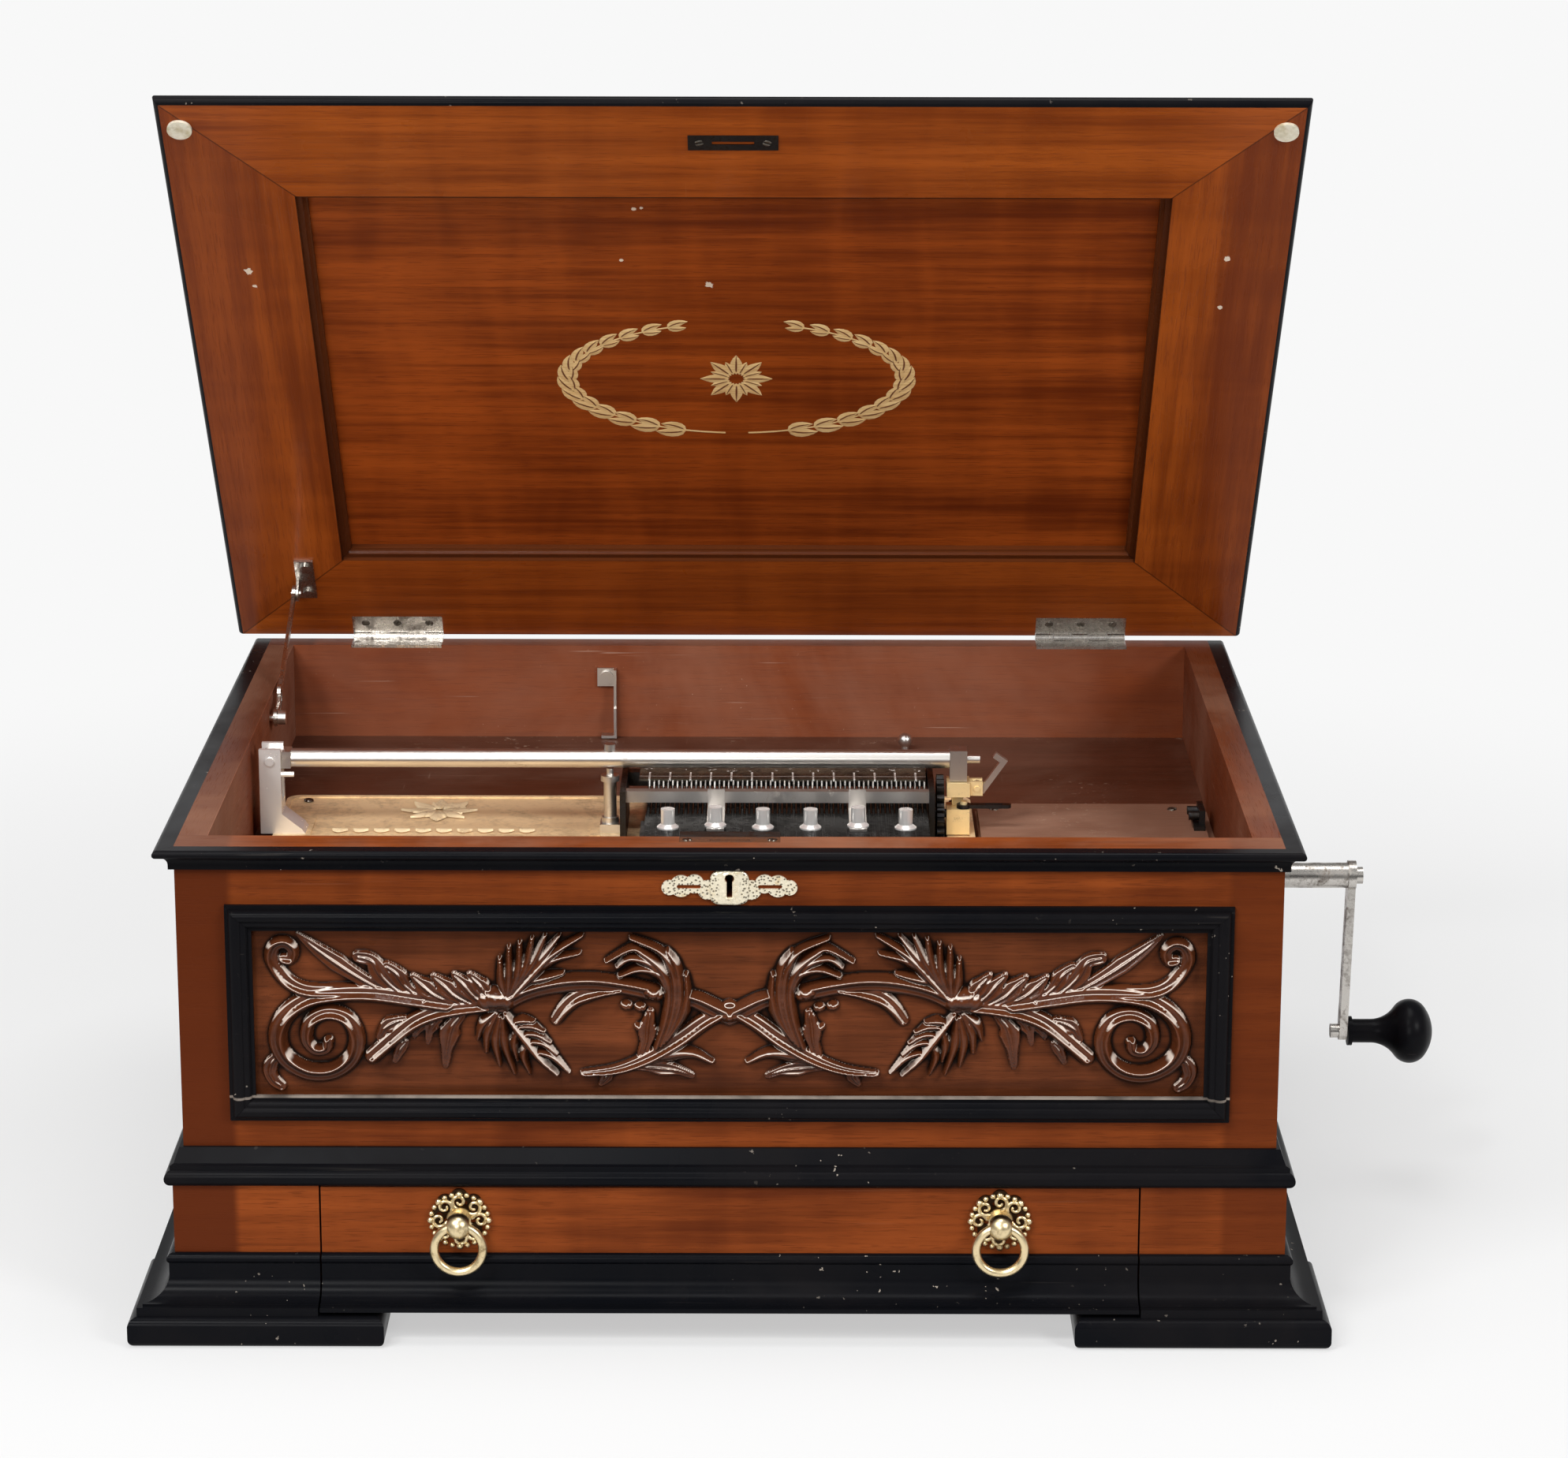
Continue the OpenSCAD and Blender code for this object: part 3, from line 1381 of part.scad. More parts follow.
module crank_arm() {
  color(nickel) {
    difference() {
      union() {
        rod_x(sleeve_x0, crank_x - crank_arm_t / 2 + 0.5, bar_y, crank_z, sleeve_r);
        translate([crank_x, bar_y, crank_z]) rotate([0, crank_lean, 0])
          plate_x(-crank_arm_t / 2, crank_arm_t) {
            translate([-crank_arm_w / 2, -crank_arm_l]) square([crank_arm_w, crank_arm_l]);
            circle(sleeve_r + 1.6);
            translate([0, -crank_arm_l]) circle(crank_arm_w / 2);
          }
        rod_x(crank_x, crank_x + crank_arm_t / 2 + 5, bar_y, crank_z, 6);
      }
      rod_x(sleeve_x0 - 1, crank_x - 8 + clear, bar_y, crank_z, arbor_r + run_fit);
    }
    rod_x(knob_x - knob_off - crank_arm_t / 2 - 6, knob_x + knob_pin_l, bar_y, knob_z, knob_pin_r);
    rod_x(knob_x - knob_off - crank_arm_t / 2 - 6, knob_x - knob_off, bar_y, knob_z, 5);
  }
}

// Pear-shaped knob outline, drawn in (out from the axis, along it):
// ferrule, neck, hollow swell, round shoulder and rounded end
module knob_outline() {
  swell = 0.27 * knob_l;
  wide = 0.73 * knob_l;
  shoulder_r = 0.57 * knob_r;
  rise = knob_r - knob_neck;
  run = wide - swell;
  hollow_r = (run * run + rise * rise) / (2 * rise) - shoulder_r;
  shoulder = [knob_r - shoulder_r, wide];
  cap = knob_l - wide;
  cap_r = (cap * cap + shoulder[0] * shoulder[0] - shoulder_r * shoulder_r) / (2 * (cap - shoulder_r));
  middle = [0, knob_l - cap_r];
  square([knob_neck + 2, 3]);
  square([knob_neck, swell + 0.1]);
  difference() {
    polygon([[0, swell], [knob_neck + hollow_r, swell], shoulder, [0, wide]]);
    translate([knob_neck + hollow_r, swell]) circle(hollow_r);
  }
  intersection() {
    translate(shoulder) circle(shoulder_r);
    square([knob_r + 1, knob_l]);
  }
  intersection() {
    translate(middle) circle(cap_r);
    polygon([middle, middle + 3 * (shoulder - middle), [0, 2 * knob_l]]);
  }
}

module crank_knob() {
  color(ebony) translate([knob_x, bar_y, knob_z]) rotate([0, 90, 0]) difference() {
    rotate_extrude() knob_outline();
    translate([0, 0, -1]) cylinder(h = knob_pin_l + 1 + clear, r = knob_pin_r + run_fit);
  }
}

// Start and stop lever on the right post
module stop_lever() {
  t = 2.5;
  l = 30;
  color(steel) translate([latch_x + 4, bar_y - 5, low_block_top + clear]) difference() {
    linear_extrude(t) union() {
      circle(5);
      translate([0, -3]) square([l, 6]);
      translate([l, 0]) circle(3);
    }
    translate([0, 0, -1]) cylinder(h = t + 2, r = lever_pin_r + run_fit);
    translate([l / 2, -1.2, -1]) cube([l / 2 - 3, 2.4, t + 2]);
  }
}

// Bent arm hanging from one screw on the back board
prop_x = spindle_x - 13;
prop_y = y_in_back - clear;
prop_z = z_rim - 24;
prop_l = 46;
prop_t = 2;
prop_screw_r = 3;
module prop_arm() {
  x1 = prop_x + 7.5;
  color(nickel) difference() {
    union() {
      block([prop_x - 7, prop_y - prop_t, prop_z - 7], [x1, prop_y, prop_z + 7]);
      block([x1 - prop_t, prop_y - 9, prop_z - 24], [x1, prop_y, prop_z + 7]);
      block([x1 - prop_t, prop_y - 12, prop_z - 38], [x1, prop_y, prop_z - 22]);
      block([x1 - prop_t, prop_y - 9, prop_z - prop_l], [x1, prop_y, prop_z - 36]);
      block([prop_x - 4, prop_y - 9, prop_z - prop_l], [x1, prop_y, prop_z - prop_l + prop_t]);
    }
    rod_y(prop_y - prop_t - 1, prop_y + 1, prop_x, prop_z, prop_screw_r + run_fit);
  }
}

// Drawer

module drawer_front() {
  color(mahogany)
    block([-drawer_w / 2, y_plinth, drawer_low], [drawer_w / 2, y_plinth + drawer_front_t, drawer_top]);
}

module drawer_tray() {
  x = drawer_w / 2;
  y0 = y_plinth + drawer_front_t + let_in;
  s = drawer_side_t;
  z1 = z_tray + tray_h;
  color(mahogany) {
    both_sides() block([x - s, y0, z_tray], [x, y_tray_back, z1]);
    block([-x + s + let_in, y_tray_back - s, z_tray], [x - s - let_in, y_tray_back, z1]);
    block([-x + s + let_in, y0, z_tray + 3],
          [x - s - let_in, y_tray_back - s - let_in, z_tray + 3 + drawer_bottom_t]);
  }
}

// The drawer carries its own stretch of base moulding
module drawer_moulding() {
  color(ebony) intersection() {
    front_run(plinth_w, y_plinth, base_out) base_profile();
    block([-drawer_w / 2, y_plinth - base_out - 1, drawer_low], [drawer_w / 2, y_plinth, z_waist]);
  }
}

module rosette() {
  lobes = 8;
  difference() {
    union() {
      circle(rosette_r * 0.62);
      for (k = [0:lobes - 1]) rotate(360 * k / lobes) translate([rosette_r * 0.7, 0]) circle(rosette_r * 0.3);
    }
    for (k = [0:lobes - 1]) {
      rotate(360 * k / lobes) translate([rosette_r * 0.72, 0]) circle(rosette_r * 0.12);
      rotate(360 * (k + 0.5) / lobes) translate([rosette_r * 0.52, 0]) circle(rosette_r * 0.09);
    }
  }
}

module pull_plates() {
  stem_r = 5.5;
  stem_l = ring_out - rosette_t;
  color(brass) both_sides() translate([pull_x, 0, pull_z]) {
    translate([0, 0, rosette_up]) plate_y(y_plinth, rosette_t) rosette();
    difference() {
      translate([0, ring_y, 0]) {
        rotate([-90, 45, 0]) cylinder(h = stem_l, r = stem_r);
        rotate([0, 0, 45]) sphere(boss_r);
      }
      rod_x(-boss_r - 1, boss_r + 1, ring_y, 0, boss_bore);
    }
  }
}

module pull_ring(s) {
  color(brass) translate([s * pull_x, ring_y, pull_z - ring_r])
    rotate([90, 0, 0]) rotate_extrude() translate([ring_r, 0]) circle(ring_wire);
}

module pull_ring_left() {
  pull_ring(-1);
}

module pull_ring_right() {
  pull_ring(1);
}

feet();
plinth_walls();
slide_board();
battens();
base_moulding();
waist_moulding();
case_floor();
case_front();
case_sides();
case_back();
rim_moulding();
panel_frame();
carved_panel();
escutcheon();
lock();
deck();
motor_cover();
cover_catch();
bedplate();
comb_base();
comb();
comb_screws();
gantry();
scale_plate();
damper_rail();
bar_post();
spindle_post();
latch_post();
hinge_case_leaves();
studs();
motor_plates();
arbor_bush();
lid_frame();
lid_panel();
lid_edge();
lid_pads();
strike_plate();
hinge_lid_leaves();
stay_bracket();
lid_stay();
pressure_bar();
bar_latch();
star_wheels();
drive_sprocket();
second_wheel();
governor_fan();
spring_barrel();
winding_wheel();
winding_arbor();
crank_arm();
crank_knob();
stop_lever();
prop_arm();
drawer_front();
drawer_tray();
drawer_moulding();
pull_plates();
pull_ring_left();
pull_ring_right();
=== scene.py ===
"""Looks of a table disc music box: finishes, carving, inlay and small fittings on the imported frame."""

import json
import math

import bpy
import numpy as np
from bpy.props import FloatProperty, FloatVectorProperty, IntProperty, PointerProperty
from bpy.types import Operator, Panel, PropertyGroup
from mathutils import Matrix, Vector


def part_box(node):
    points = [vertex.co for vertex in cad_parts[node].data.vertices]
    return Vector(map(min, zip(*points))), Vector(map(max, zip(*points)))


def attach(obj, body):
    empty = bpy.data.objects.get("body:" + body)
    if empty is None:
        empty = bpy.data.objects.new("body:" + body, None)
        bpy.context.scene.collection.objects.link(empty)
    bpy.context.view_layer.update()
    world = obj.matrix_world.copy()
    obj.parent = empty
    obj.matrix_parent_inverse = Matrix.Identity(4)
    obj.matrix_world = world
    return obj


bl_info = {
    "name": "Disc music box",
    "version": (1, 0, 0),
    "blender": (4, 5, 0),
    "location": "View3D > Sidebar > Music box",
    "description": "Finishes, carving, inlay and small fittings of a table disc music box",
    "category": "Object",
}

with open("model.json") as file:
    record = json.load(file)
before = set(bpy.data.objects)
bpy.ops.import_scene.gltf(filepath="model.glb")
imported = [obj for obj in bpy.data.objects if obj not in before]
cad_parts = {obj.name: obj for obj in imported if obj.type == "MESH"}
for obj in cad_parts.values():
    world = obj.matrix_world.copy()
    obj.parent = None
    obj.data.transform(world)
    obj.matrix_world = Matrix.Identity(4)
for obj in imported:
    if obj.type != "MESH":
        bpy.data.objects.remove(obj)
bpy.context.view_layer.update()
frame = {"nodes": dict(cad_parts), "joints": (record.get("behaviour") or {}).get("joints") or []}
NODES = frame["nodes"]
MM = 0.001
TOOTH_PITCH = 0.001625
# Inner faces of the case: half width, front and back
INNER_HALF, INNER_FRONT, INNER_BACK = 0.3368, -0.2548, 0.2588
# Where the front board's end begins beside the panel frame
END_FROM, END_TO = 0.318, 0.324
# Widths of the lid's front and back rails, and the tongue of its panel
FRONT_RAIL, BACK_RAIL, TONGUE = 0.0945, 0.098, 0.006
# The panel's face above the rails' face, the wreath's middle before the hinge line, the hinges' middle
PANEL_SUNK, WREATH_AHEAD, HINGE_OUT = 0.010, 0.290, 0.2587
# Pale colour of flaked polish
FLAKE = (0.80, 0.66, 0.52)


def joint_facts(name):
    """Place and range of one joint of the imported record."""
    return next(j for j in frame["joints"] if j["name"] == name)


HINGE = Vector(joint_facts("lid_hinge")["pos_m"])
LID_TURN = math.radians(50.7)
# Turns a point of the closed lid to the open lid, and back
OPENED = Matrix.Translation(HINGE) @ Matrix.Rotation(-LID_TURN, 4, "X") @ Matrix.Translation(-HINGE)
CLOSED = OPENED.inverted()


def colour(name, description, value):
    return FloatVectorProperty(
        name=name, description=description, default=value, subtype="COLOR", size=3, min=0, max=1
    )


def length(name, description, value):
    return FloatProperty(name=name, description=description, default=value, unit="LENGTH", precision=5)


def number(name, description, value, subtype="NONE"):
    return FloatProperty(name=name, description=description, default=value, subtype=subtype)


class BoxFinish(PropertyGroup):
    """Colours of the woods and metals."""

    case_light: colour("Case light", "Lighter figure of the mahogany case", (0.250, 0.056, 0.0110))
    case_dark: colour("Case dark", "Darker figure of the mahogany case", (0.085, 0.0165, 0.0040))
    inside: colour("Case inside", "Unpolished mahogany inside the case", (0.190, 0.050, 0.0230))
    lid_light: colour("Lid light", "Lighter figure of the lid's rails", (0.415, 0.092, 0.0120))
    lid_dark: colour("Lid dark", "Darker figure of the lid's rails", (0.185, 0.034, 0.0050))
    panel_light: colour("Lid panel light", "Lighter figure of the lid's panel", (0.410, 0.082, 0.0110))
    panel_dark: colour("Lid panel dark", "Darker figure of the lid's panel", (0.140, 0.0225, 0.0038))
    carved_light: colour("Carving light", "Lighter figure of the carved board", (0.170, 0.046, 0.0150))
    carved_dark: colour("Carving dark", "Darker figure of the carved board", (0.052, 0.0140, 0.0052))
    ebony: colour("Ebonised", "Black polish of the mouldings", (0.0032, 0.0036, 0.0050))
    chip: colour("Chips", "Pale chips in the black polish", (0.42, 0.36, 0.30))
    inlay: colour("Inlay", "Pale wood of the lid's inlay", (0.95, 0.68, 0.33))
    brass: colour("Brass", "Old brass of the pulls", (0.86, 0.70, 0.42))
    brass_dull: colour("Brass dull", "Tarnish in the brass", (0.26, 0.175, 0.075))
    gilt: colour("Gilt", "Gold paint of the bedplate", (0.96, 0.70, 0.40))
    gilt_dull: colour("Gilt worn", "Worn and dirty gold paint", (0.56, 0.38, 0.21))
    nickel: colour("Nickel", "Worn nickel plating", (0.70, 0.665, 0.625))
    nickel_dull: colour("Nickel dull", "Tarnish in the nickel", (0.40, 0.33, 0.26))
    arm: colour("Arm", "Browned nickel of the crank and the hinges", (0.60, 0.57, 0.53))
    arm_dull: colour("Arm dull", "Brown tarnish of the crank and the hinges", (0.14, 0.105, 0.078))
    steel: colour("Steel", "Dark blued steel", (0.050, 0.050, 0.053))
    steel_dull: colour("Steel dull", "Rust and oil on the steel", (0.040, 0.030, 0.022))
    ivory: colour("Rest pads", "Ivory of the lid's rest pads", (0.90, 0.78, 0.62))


class BoxOrnament(PropertyGroup):
    """Sizes of the carving, the inlay and the fittings."""

    relief: number("Relief", "Height of the carving against its drawn height", 1.5)
    boldness: number("Boldness", "Width of the carving against its drawn width", 1.3)
    carving_step: length("Carving step", "Grid spacing of the carved surface", 0.00062)
    inlay_w: length("Inlay width", "Half width of the wreath on the lid's panel", 0.118)
    inlay_h: length("Inlay height", "Half height of the wreath on the lid's panel", 0.060)
    inlay_leaves: IntProperty(name="Inlay leaves", description="Pairs of leaves on one branch", default=15)
    rosette_r: length("Rosette radius", "Radius of the drawer pulls' rosettes", 0.0184)
    screw_r: length("Screw radius", "Radius of a common screw head", 0.0036)


class BoxStage(PropertyGroup):
    """Camera, lamps and floor."""

    eye: FloatVectorProperty(
        name="Camera",
        description="Place of the camera",
        default=(0.03764, -3.02137, 1.13904),
        subtype="TRANSLATION",
    )
    pitch: number("Pitch", "Downward tilt of the camera", math.radians(14.919), "ANGLE")
    yaw: number("Yaw", "Turn of the camera to the left", math.radians(0.061), "ANGLE")
    roll: number("Roll", "Roll of the camera", 0.002, "ANGLE")
    lens: number("Lens", "Focal length on a 36 mm frame", 102.692)
    floor: colour("Floor", "Pale paper floor", (0.685, 0.685, 0.685))
    backdrop: number("Backdrop", "Brightness of the far floor", 0.939)
    room: number("Room", "Brightness of the room round the box", 0.30)


# Shader helpers


class Shade:
    """Adds nodes to a tree; each call gives back the new node's output."""

    def __init__(self, tree):
        self.tree = tree

    def add(self, kind, feeds=None, out=0, **settings):
        node = self.tree.nodes.new("ShaderNode" + kind)
        for key, value in settings.items():
            setattr(node, key, value)
        for key, value in (feeds or {}).items():
            self.feed(node.inputs[key], value)
        return node.outputs[out]

    def feed(self, socket, value):
        if isinstance(value, bpy.types.NodeSocket):
            self.tree.links.new(value, socket)
        else:
            if socket.type == "RGBA" and len(value) == 3:
                value = (*value, 1.0)
            socket.default_value = value

    def sums(self, operation, a, b=0.0, clamp=False):
        return self.add("Math", {0: a, 1: b}, operation=operation, use_clamp=clamp)

    def times(self, a, b):
        return self.sums("MULTIPLY", a, b)

    def plus(self, a, b, clamp=False):
        return self.sums("ADD", a, b, clamp)

    def less(self, a, b):
        return self.sums("SUBTRACT", a, b)

    def size(self, a):
        return self.sums("ABSOLUTE", a)

    def most(self, a, b):
        return self.sums("MAXIMUM", a, b)

    def over(self, a, b):
        return self.sums("GREATER_THAN", a, b)

    def under(self, a, b):
        return self.sums("LESS_THAN", a, b)

    def mix(self, factor, a, b):
        return self.add("Mix", {0: factor, 6: a, 7: b}, out=2, data_type="RGBA")

    def stain(self, tone, mask, share, colour):
        """A tone with a share of another colour where the mask is."""
        return self.mix(self.times(mask, share), tone, colour)

    def choose(self, factor, a, b):
        return self.add("Mix", {0: factor, 4: a, 5: b}, out=1, data_type="VECTOR")

    def span(self, value, low, high, to_low=0.0, to_high=1.0):
        feeds = {"Value": value, "From Min": low, "From Max": high, "To Min": to_low, "To Max": to_high}
        return self.add("MapRange", feeds, interpolation_type="SMOOTHSTEP")

    def noise(self, place, scale, detail=3.0, rough=0.55, warp=0.0):
        feeds = {"Vector": place, "Scale": scale, "Detail": detail, "Roughness": rough, "Distortion": warp}
        return self.add("TexNoise", feeds)

    def stretch(self, place, scale=(1, 1, 1), turn=(0, 0, 0), shift=(0, 0, 0)):
        return self.add("Mapping", {"Vector": place, "Scale": scale, "Rotation": turn, "Location": shift})

    def split(self, place):
        node = self.tree.nodes.new("ShaderNodeSeparateXYZ")
        self.feed(node.inputs[0], place)
        return node.outputs

    def place(self):
        return self.add("TexCoord", out="Object")

    def facing(self, axis):
        return self.split(self.add("TexCoord", out="Normal"))[axis]

    def value(self, name):
        return self.add("Attribute", out="Fac", attribute_name=name)

    def closed_lid(self):
        """Place on the lid as if it were closed."""
        return self.stretch(self.place(), turn=CLOSED.to_euler(), shift=CLOSED.to_translation())

    def group(self, name, feeds):
        node = self.tree.nodes.new("ShaderNodeGroup")
        node.node_tree = bpy.data.node_groups[name]
        for key, value in feeds.items():
            self.feed(node.inputs[key], value)
        return node.outputs

    def wood(self, place, light, dark, wear):
        """Figure of a wood along X of the place, and its marks of use."""
        figure = self.group("Wood figure", {"Vector": place, "Light": light, "Dark": dark})
        return figure, self.group("Marks of use", {"Vector": place, "Amount": wear})

    def metal(self, place, bright, dull, amount, scale):
        feeds = {"Vector": place, "Bright": bright, "Dull": dull, "Amount": amount, "Scale": scale}
        return self.group("Tarnish", feeds)

    def bump(self, height, strength, distance):
        feeds = {"Height": height, "Strength": strength, "Distance": distance}
        return self.add("Bump", feeds, out="Normal")


SOCKETS = {"f": "NodeSocketFloat", "c": "NodeSocketColor", "v": "NodeSocketVector"}


def new_group(name, takes, gives):
    """An empty shader node group with the named inputs and outputs; each is a name and a kind letter."""
    tree = bpy.data.node_groups.new(name, "ShaderNodeTree")
    for label, kind in takes:
        tree.interface.new_socket(label, in_out="INPUT", socket_type=SOCKETS[kind])
    for label, kind in gives:
        tree.interface.new_socket(label, in_out="OUTPUT", socket_type=SOCKETS[kind])
    shade = Shade(tree)
    start = tree.nodes.new("NodeGroupInput").outputs
    end = tree.nodes.new("NodeGroupOutput").inputs
    return shade, start, end


def wood_group():
    """Mahogany figure along X: broad bands, fine streaks, a cross ribbon, and dark pores."""
    shade, start, end = new_group(
        "Wood figure",
        [("Vector", "v"), ("Light", "c"), ("Dark", "c")],
        [("Color", "c"), ("Pores", "f"), ("Height", "f")],
    )
    place = start["Vector"]
    bands = shade.noise(shade.stretch(place, (1.4, 16, 16)), 1.0, 5, 0.6, 0.7)
    streaks = shade.noise(shade.stretch(place, (5, 170, 170)), 1.0, 4, 0.6)
    ribbon = shade.noise(shade.stretch(place, (26, 5, 5)), 1.0, 2, 0.5, 0.4)
    pores = shade.span(shade.noise(shade.stretch(place, (55, 1100, 1100)), 1.0, 2, 0.5), 0.56, 0.66)
    figure = shade.plus(shade.times(bands, 0.62), shade.times(streaks, 0.36))
    figure = shade.plus(figure, shade.times(ribbon, 0.22))
    tone = shade.mix(shade.span(figure, 0.42, 0.78), start["Dark"], start["Light"])
    shade.feed(end["Color"], shade.stain(tone, pores, 0.45, start["Dark"]))
    shade.feed(end["Pores"], pores)
    shade.feed(end["Height"], shade.less(shade.times(streaks, 0.6), pores))


def wear_group():
    """Marks of use: small chips in clusters, long scratches, and a soft patchy bloom."""
    shade, start, end = new_group(
        "Marks of use",
        [("Vector", "v"), ("Amount", "f")],
        [("Chips", "f"), ("Scratches", "f"), ("Bloom", "f")],
    )
    place = start["Vector"]
    where = shade.span(shade.noise(place, 9.0, 2), 0.52, 0.66)
    specks = shade.noise(place, 210.0, 2, 0.6)
    limit = shade.less(0.80, shade.times(start["Amount"], 0.14))
    chips = shade.times(shade.over(specks, limit), where)
    lines = shade.noise(shade.stretch(place, (10, 420, 420), (0.0, 0.06, 0.09)), 1.0, 2, 0.5)
    cross = shade.noise(shade.stretch(place, (380, 14, 380), (0.2, 0.0, 0.4)), 1.0, 2, 0.5)
    marks = shade.most(shade.span(lines, 0.68, 0.76), shade.span(cross, 0.72, 0.80))
    marks = shade.times(marks, shade.span(shade.noise(place, 6.0, 2), 0.42, 0.62))
    shade.feed(end["Chips"], chips)
    shade.feed(end["Scratches"], shade.times(marks, start["Amount"]))
    shade.feed(end["Bloom"], shade.span(shade.noise(place, 4.5, 5, 0.65, 0.5), 0.36, 0.70))


def tarnish_group():
    """Old metal: a mottled blend of bright and dull, fine specks, and a roughness that follows it."""
    shade, start, end = new_group(
        "Tarnish",
        [("Vector", "v"), ("Bright", "c"), ("Dull", "c"), ("Amount", "f"), ("Scale", "f")],
        [("Color", "c"), ("Roughness", "f"), ("Height", "f")],
    )
    place = start["Vector"]
    cloud = shade.noise(place, start["Scale"], 6, 0.66, 0.8)
    fine = shade.noise(place, shade.times(start["Scale"], 9.0), 3, 0.6)
    blend = shade.plus(shade.times(cloud, 0.72), shade.times(fine, 0.28))
    low = shade.less(0.86, shade.times(start["Amount"], 0.5))
    mask = shade.span(blend, shade.less(low, 0.16), shade.plus(low, 0.08))
    shade.feed(end["Color"], shade.mix(mask, start["Bright"], start["Dull"]))
    shade.feed(end["Roughness"], shade.plus(0.24, shade.times(mask, 0.34)))
    shade.feed(end["Height"], shade.less(fine, shade.times(mask, 0.5)))


def new_material(name, **constants):
    """A material with one Principled shader; constants are set on its own sockets."""
    material = bpy.data.materials.new(name)
    material.use_nodes = True
    tree = material.node_tree
    tree.nodes.clear()
    skin = tree.nodes.new("ShaderNodeBsdfPrincipled")
    end = tree.nodes.new("ShaderNodeOutputMaterial")
    tree.links.new(skin.outputs[0], end.inputs[0])
    for key, value in constants.items():
        skin.inputs[key.replace("_", " ").title().replace("Ior", "IOR")].default_value = value
    return material, Shade(tree), skin.inputs


def polish(shade, skin, wood, marks, base, reach):
    """Feeds a polished wood: roughness from bloom and pores, and a faint grain relief."""
    rough = shade.plus(base, shade.times(marks["Bloom"], reach))
    rough = shade.plus(rough, shade.times(wood["Pores"], 0.12))
    shade.feed(skin["Roughness"], rough)
    shade.feed(skin["Normal"], shade.bump(wood["Height"], 0.16, 0.0004))
    return rough


def flakes(shade, flat, spots):
    """Mask of small pale flakes on the lid's inner face: ragged patches about spots (x, y, size)."""
    ragged = shade.times(shade.noise(flat, 420.0, 3, 0.7), 1.7)
    mask = 0.0
    for x, y, size in spots:
        gap = shade.add("VectorMath", {0: flat, 1: (x, y, 0.0)}, operation="SUBTRACT")
        gap = shade.add("VectorMath", {0: gap, 1: (1.0, 1.0, 0.0)}, operation="MULTIPLY")
        gap = shade.add("VectorMath", {0: gap}, out="Value", operation="LENGTH")
        near = shade.under(shade.times(gap, ragged), size)
        mask = near if mask == 0.0 else shade.most(mask, near)
    inner = shade.under(shade.split(flat)["Z"], lid_opening()[0][2] + 0.002)
    return shade.times(mask, inner)


def boards_material(name, finish, along_y=False):
    """Mahogany of the case: grain along X, along Y on faces to the sides; dull and scratched inside."""
    material, shade, skin = new_material(name, specular_ior_level=0.05)
    place = shade.place()
    turned = shade.stretch(place, turn=(0, 0, -math.pi / 2), shift=(0.31, 0.17, 0.05))
    if along_y:
        grain = turned
    else:
        side = shade.size(shade.facing("X"))
        grain = shade.choose(shade.over(side, 0.5), place, turned)
    wood, marks = shade.wood(grain, finish.case_light, finish.case_dark, 0.75)
    x, y, _ = shade.split(place)
    within = shade.under(shade.size(x), INNER_HALF)
    within = shade.times(within, shade.over(y, INNER_FRONT))
    within = shade.times(within, shade.under(y, INNER_BACK))
    raw = shade.mix(0.55, wood["Color"], finish.inside)
    rubbed = 0.75 if along_y else 0.34
    raw = shade.stain(raw, marks["Bloom"], rubbed, (0.34, 0.165, 0.108))
    raw = shade.stain(raw, marks["Scratches"], rubbed + 0.25, (0.62, 0.44, 0.34))
    outer = shade.stain(wood["Color"], marks["Scratches"], 0.10, (0.36, 0.16, 0.08))
    outer = shade.stain(outer, marks["Bloom"], 0.30, finish.case_dark)
    # The case's ends beyond the panel frame are darkened, the left end more; the left end's extra darkness
    # is painted shade.
    stile = shade.span(shade.size(x), END_FROM, END_TO, 0.0, 0.60)
    stile = shade.most(stile, shade.span(x, -END_FROM, -END_TO, 0.0, 0.95))
    outer = shade.mix(stile, outer, finish.case_dark)
    raw = shade.mix(shade.span(x, 0.17, 0.32, 0.0, 0.40), raw, finish.case_dark)
    top = shade.over(shade.facing("Z"), 0.8)
    worn = shade.times(top, shade.times(marks["Bloom"], 0.32))
    outer = shade.mix(worn, outer, (0.42, 0.235, 0.155))
    shade.feed(skin["Base Color"], shade.mix(within, outer, raw))
    rough = polish(shade, skin, wood, marks, 0.32, 0.18)
    shade.feed(skin["Roughness"], shade.plus(rough, shade.times(within, 0.16)))
    return material


def deck_material(finish):
    """Stained deck and motor cover: thin dusty finish with many scratches."""
    material, shade, skin = new_material("Deck wood", specular_ior_level=0.35)
    place = shade.place()
    wood, marks = shade.wood(place, finish.inside, finish.case_dark, 1.0)
    tone = shade.mix(0.68, wood["Color"], finish.carved_dark)
    x, y, _ = shade.split(place)
    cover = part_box("motor_cover")
    handled = shade.times(shade.over(x, cover[0][0] - 0.001), shade.under(y, cover[1][1] + 0.001))
    scuff = shade.plus(0.15, shade.times(handled, 0.70))
    tone = shade.stain(tone, handled, 0.45, (0.38, 0.200, 0.130))
    tone = shade.stain(tone, marks["Bloom"], scuff, (0.46, 0.270, 0.185))
    tone = shade.stain(tone, marks["Scratches"], 0.45, (0.45, 0.30, 0.22))
    tone = shade.stain(tone, marks["Chips"], 0.5, (0.40, 0.28, 0.20))
    shade.feed(skin["Base Color"], tone)
    polish(shade, skin, wood, marks, 0.50, 0.18)
    return material


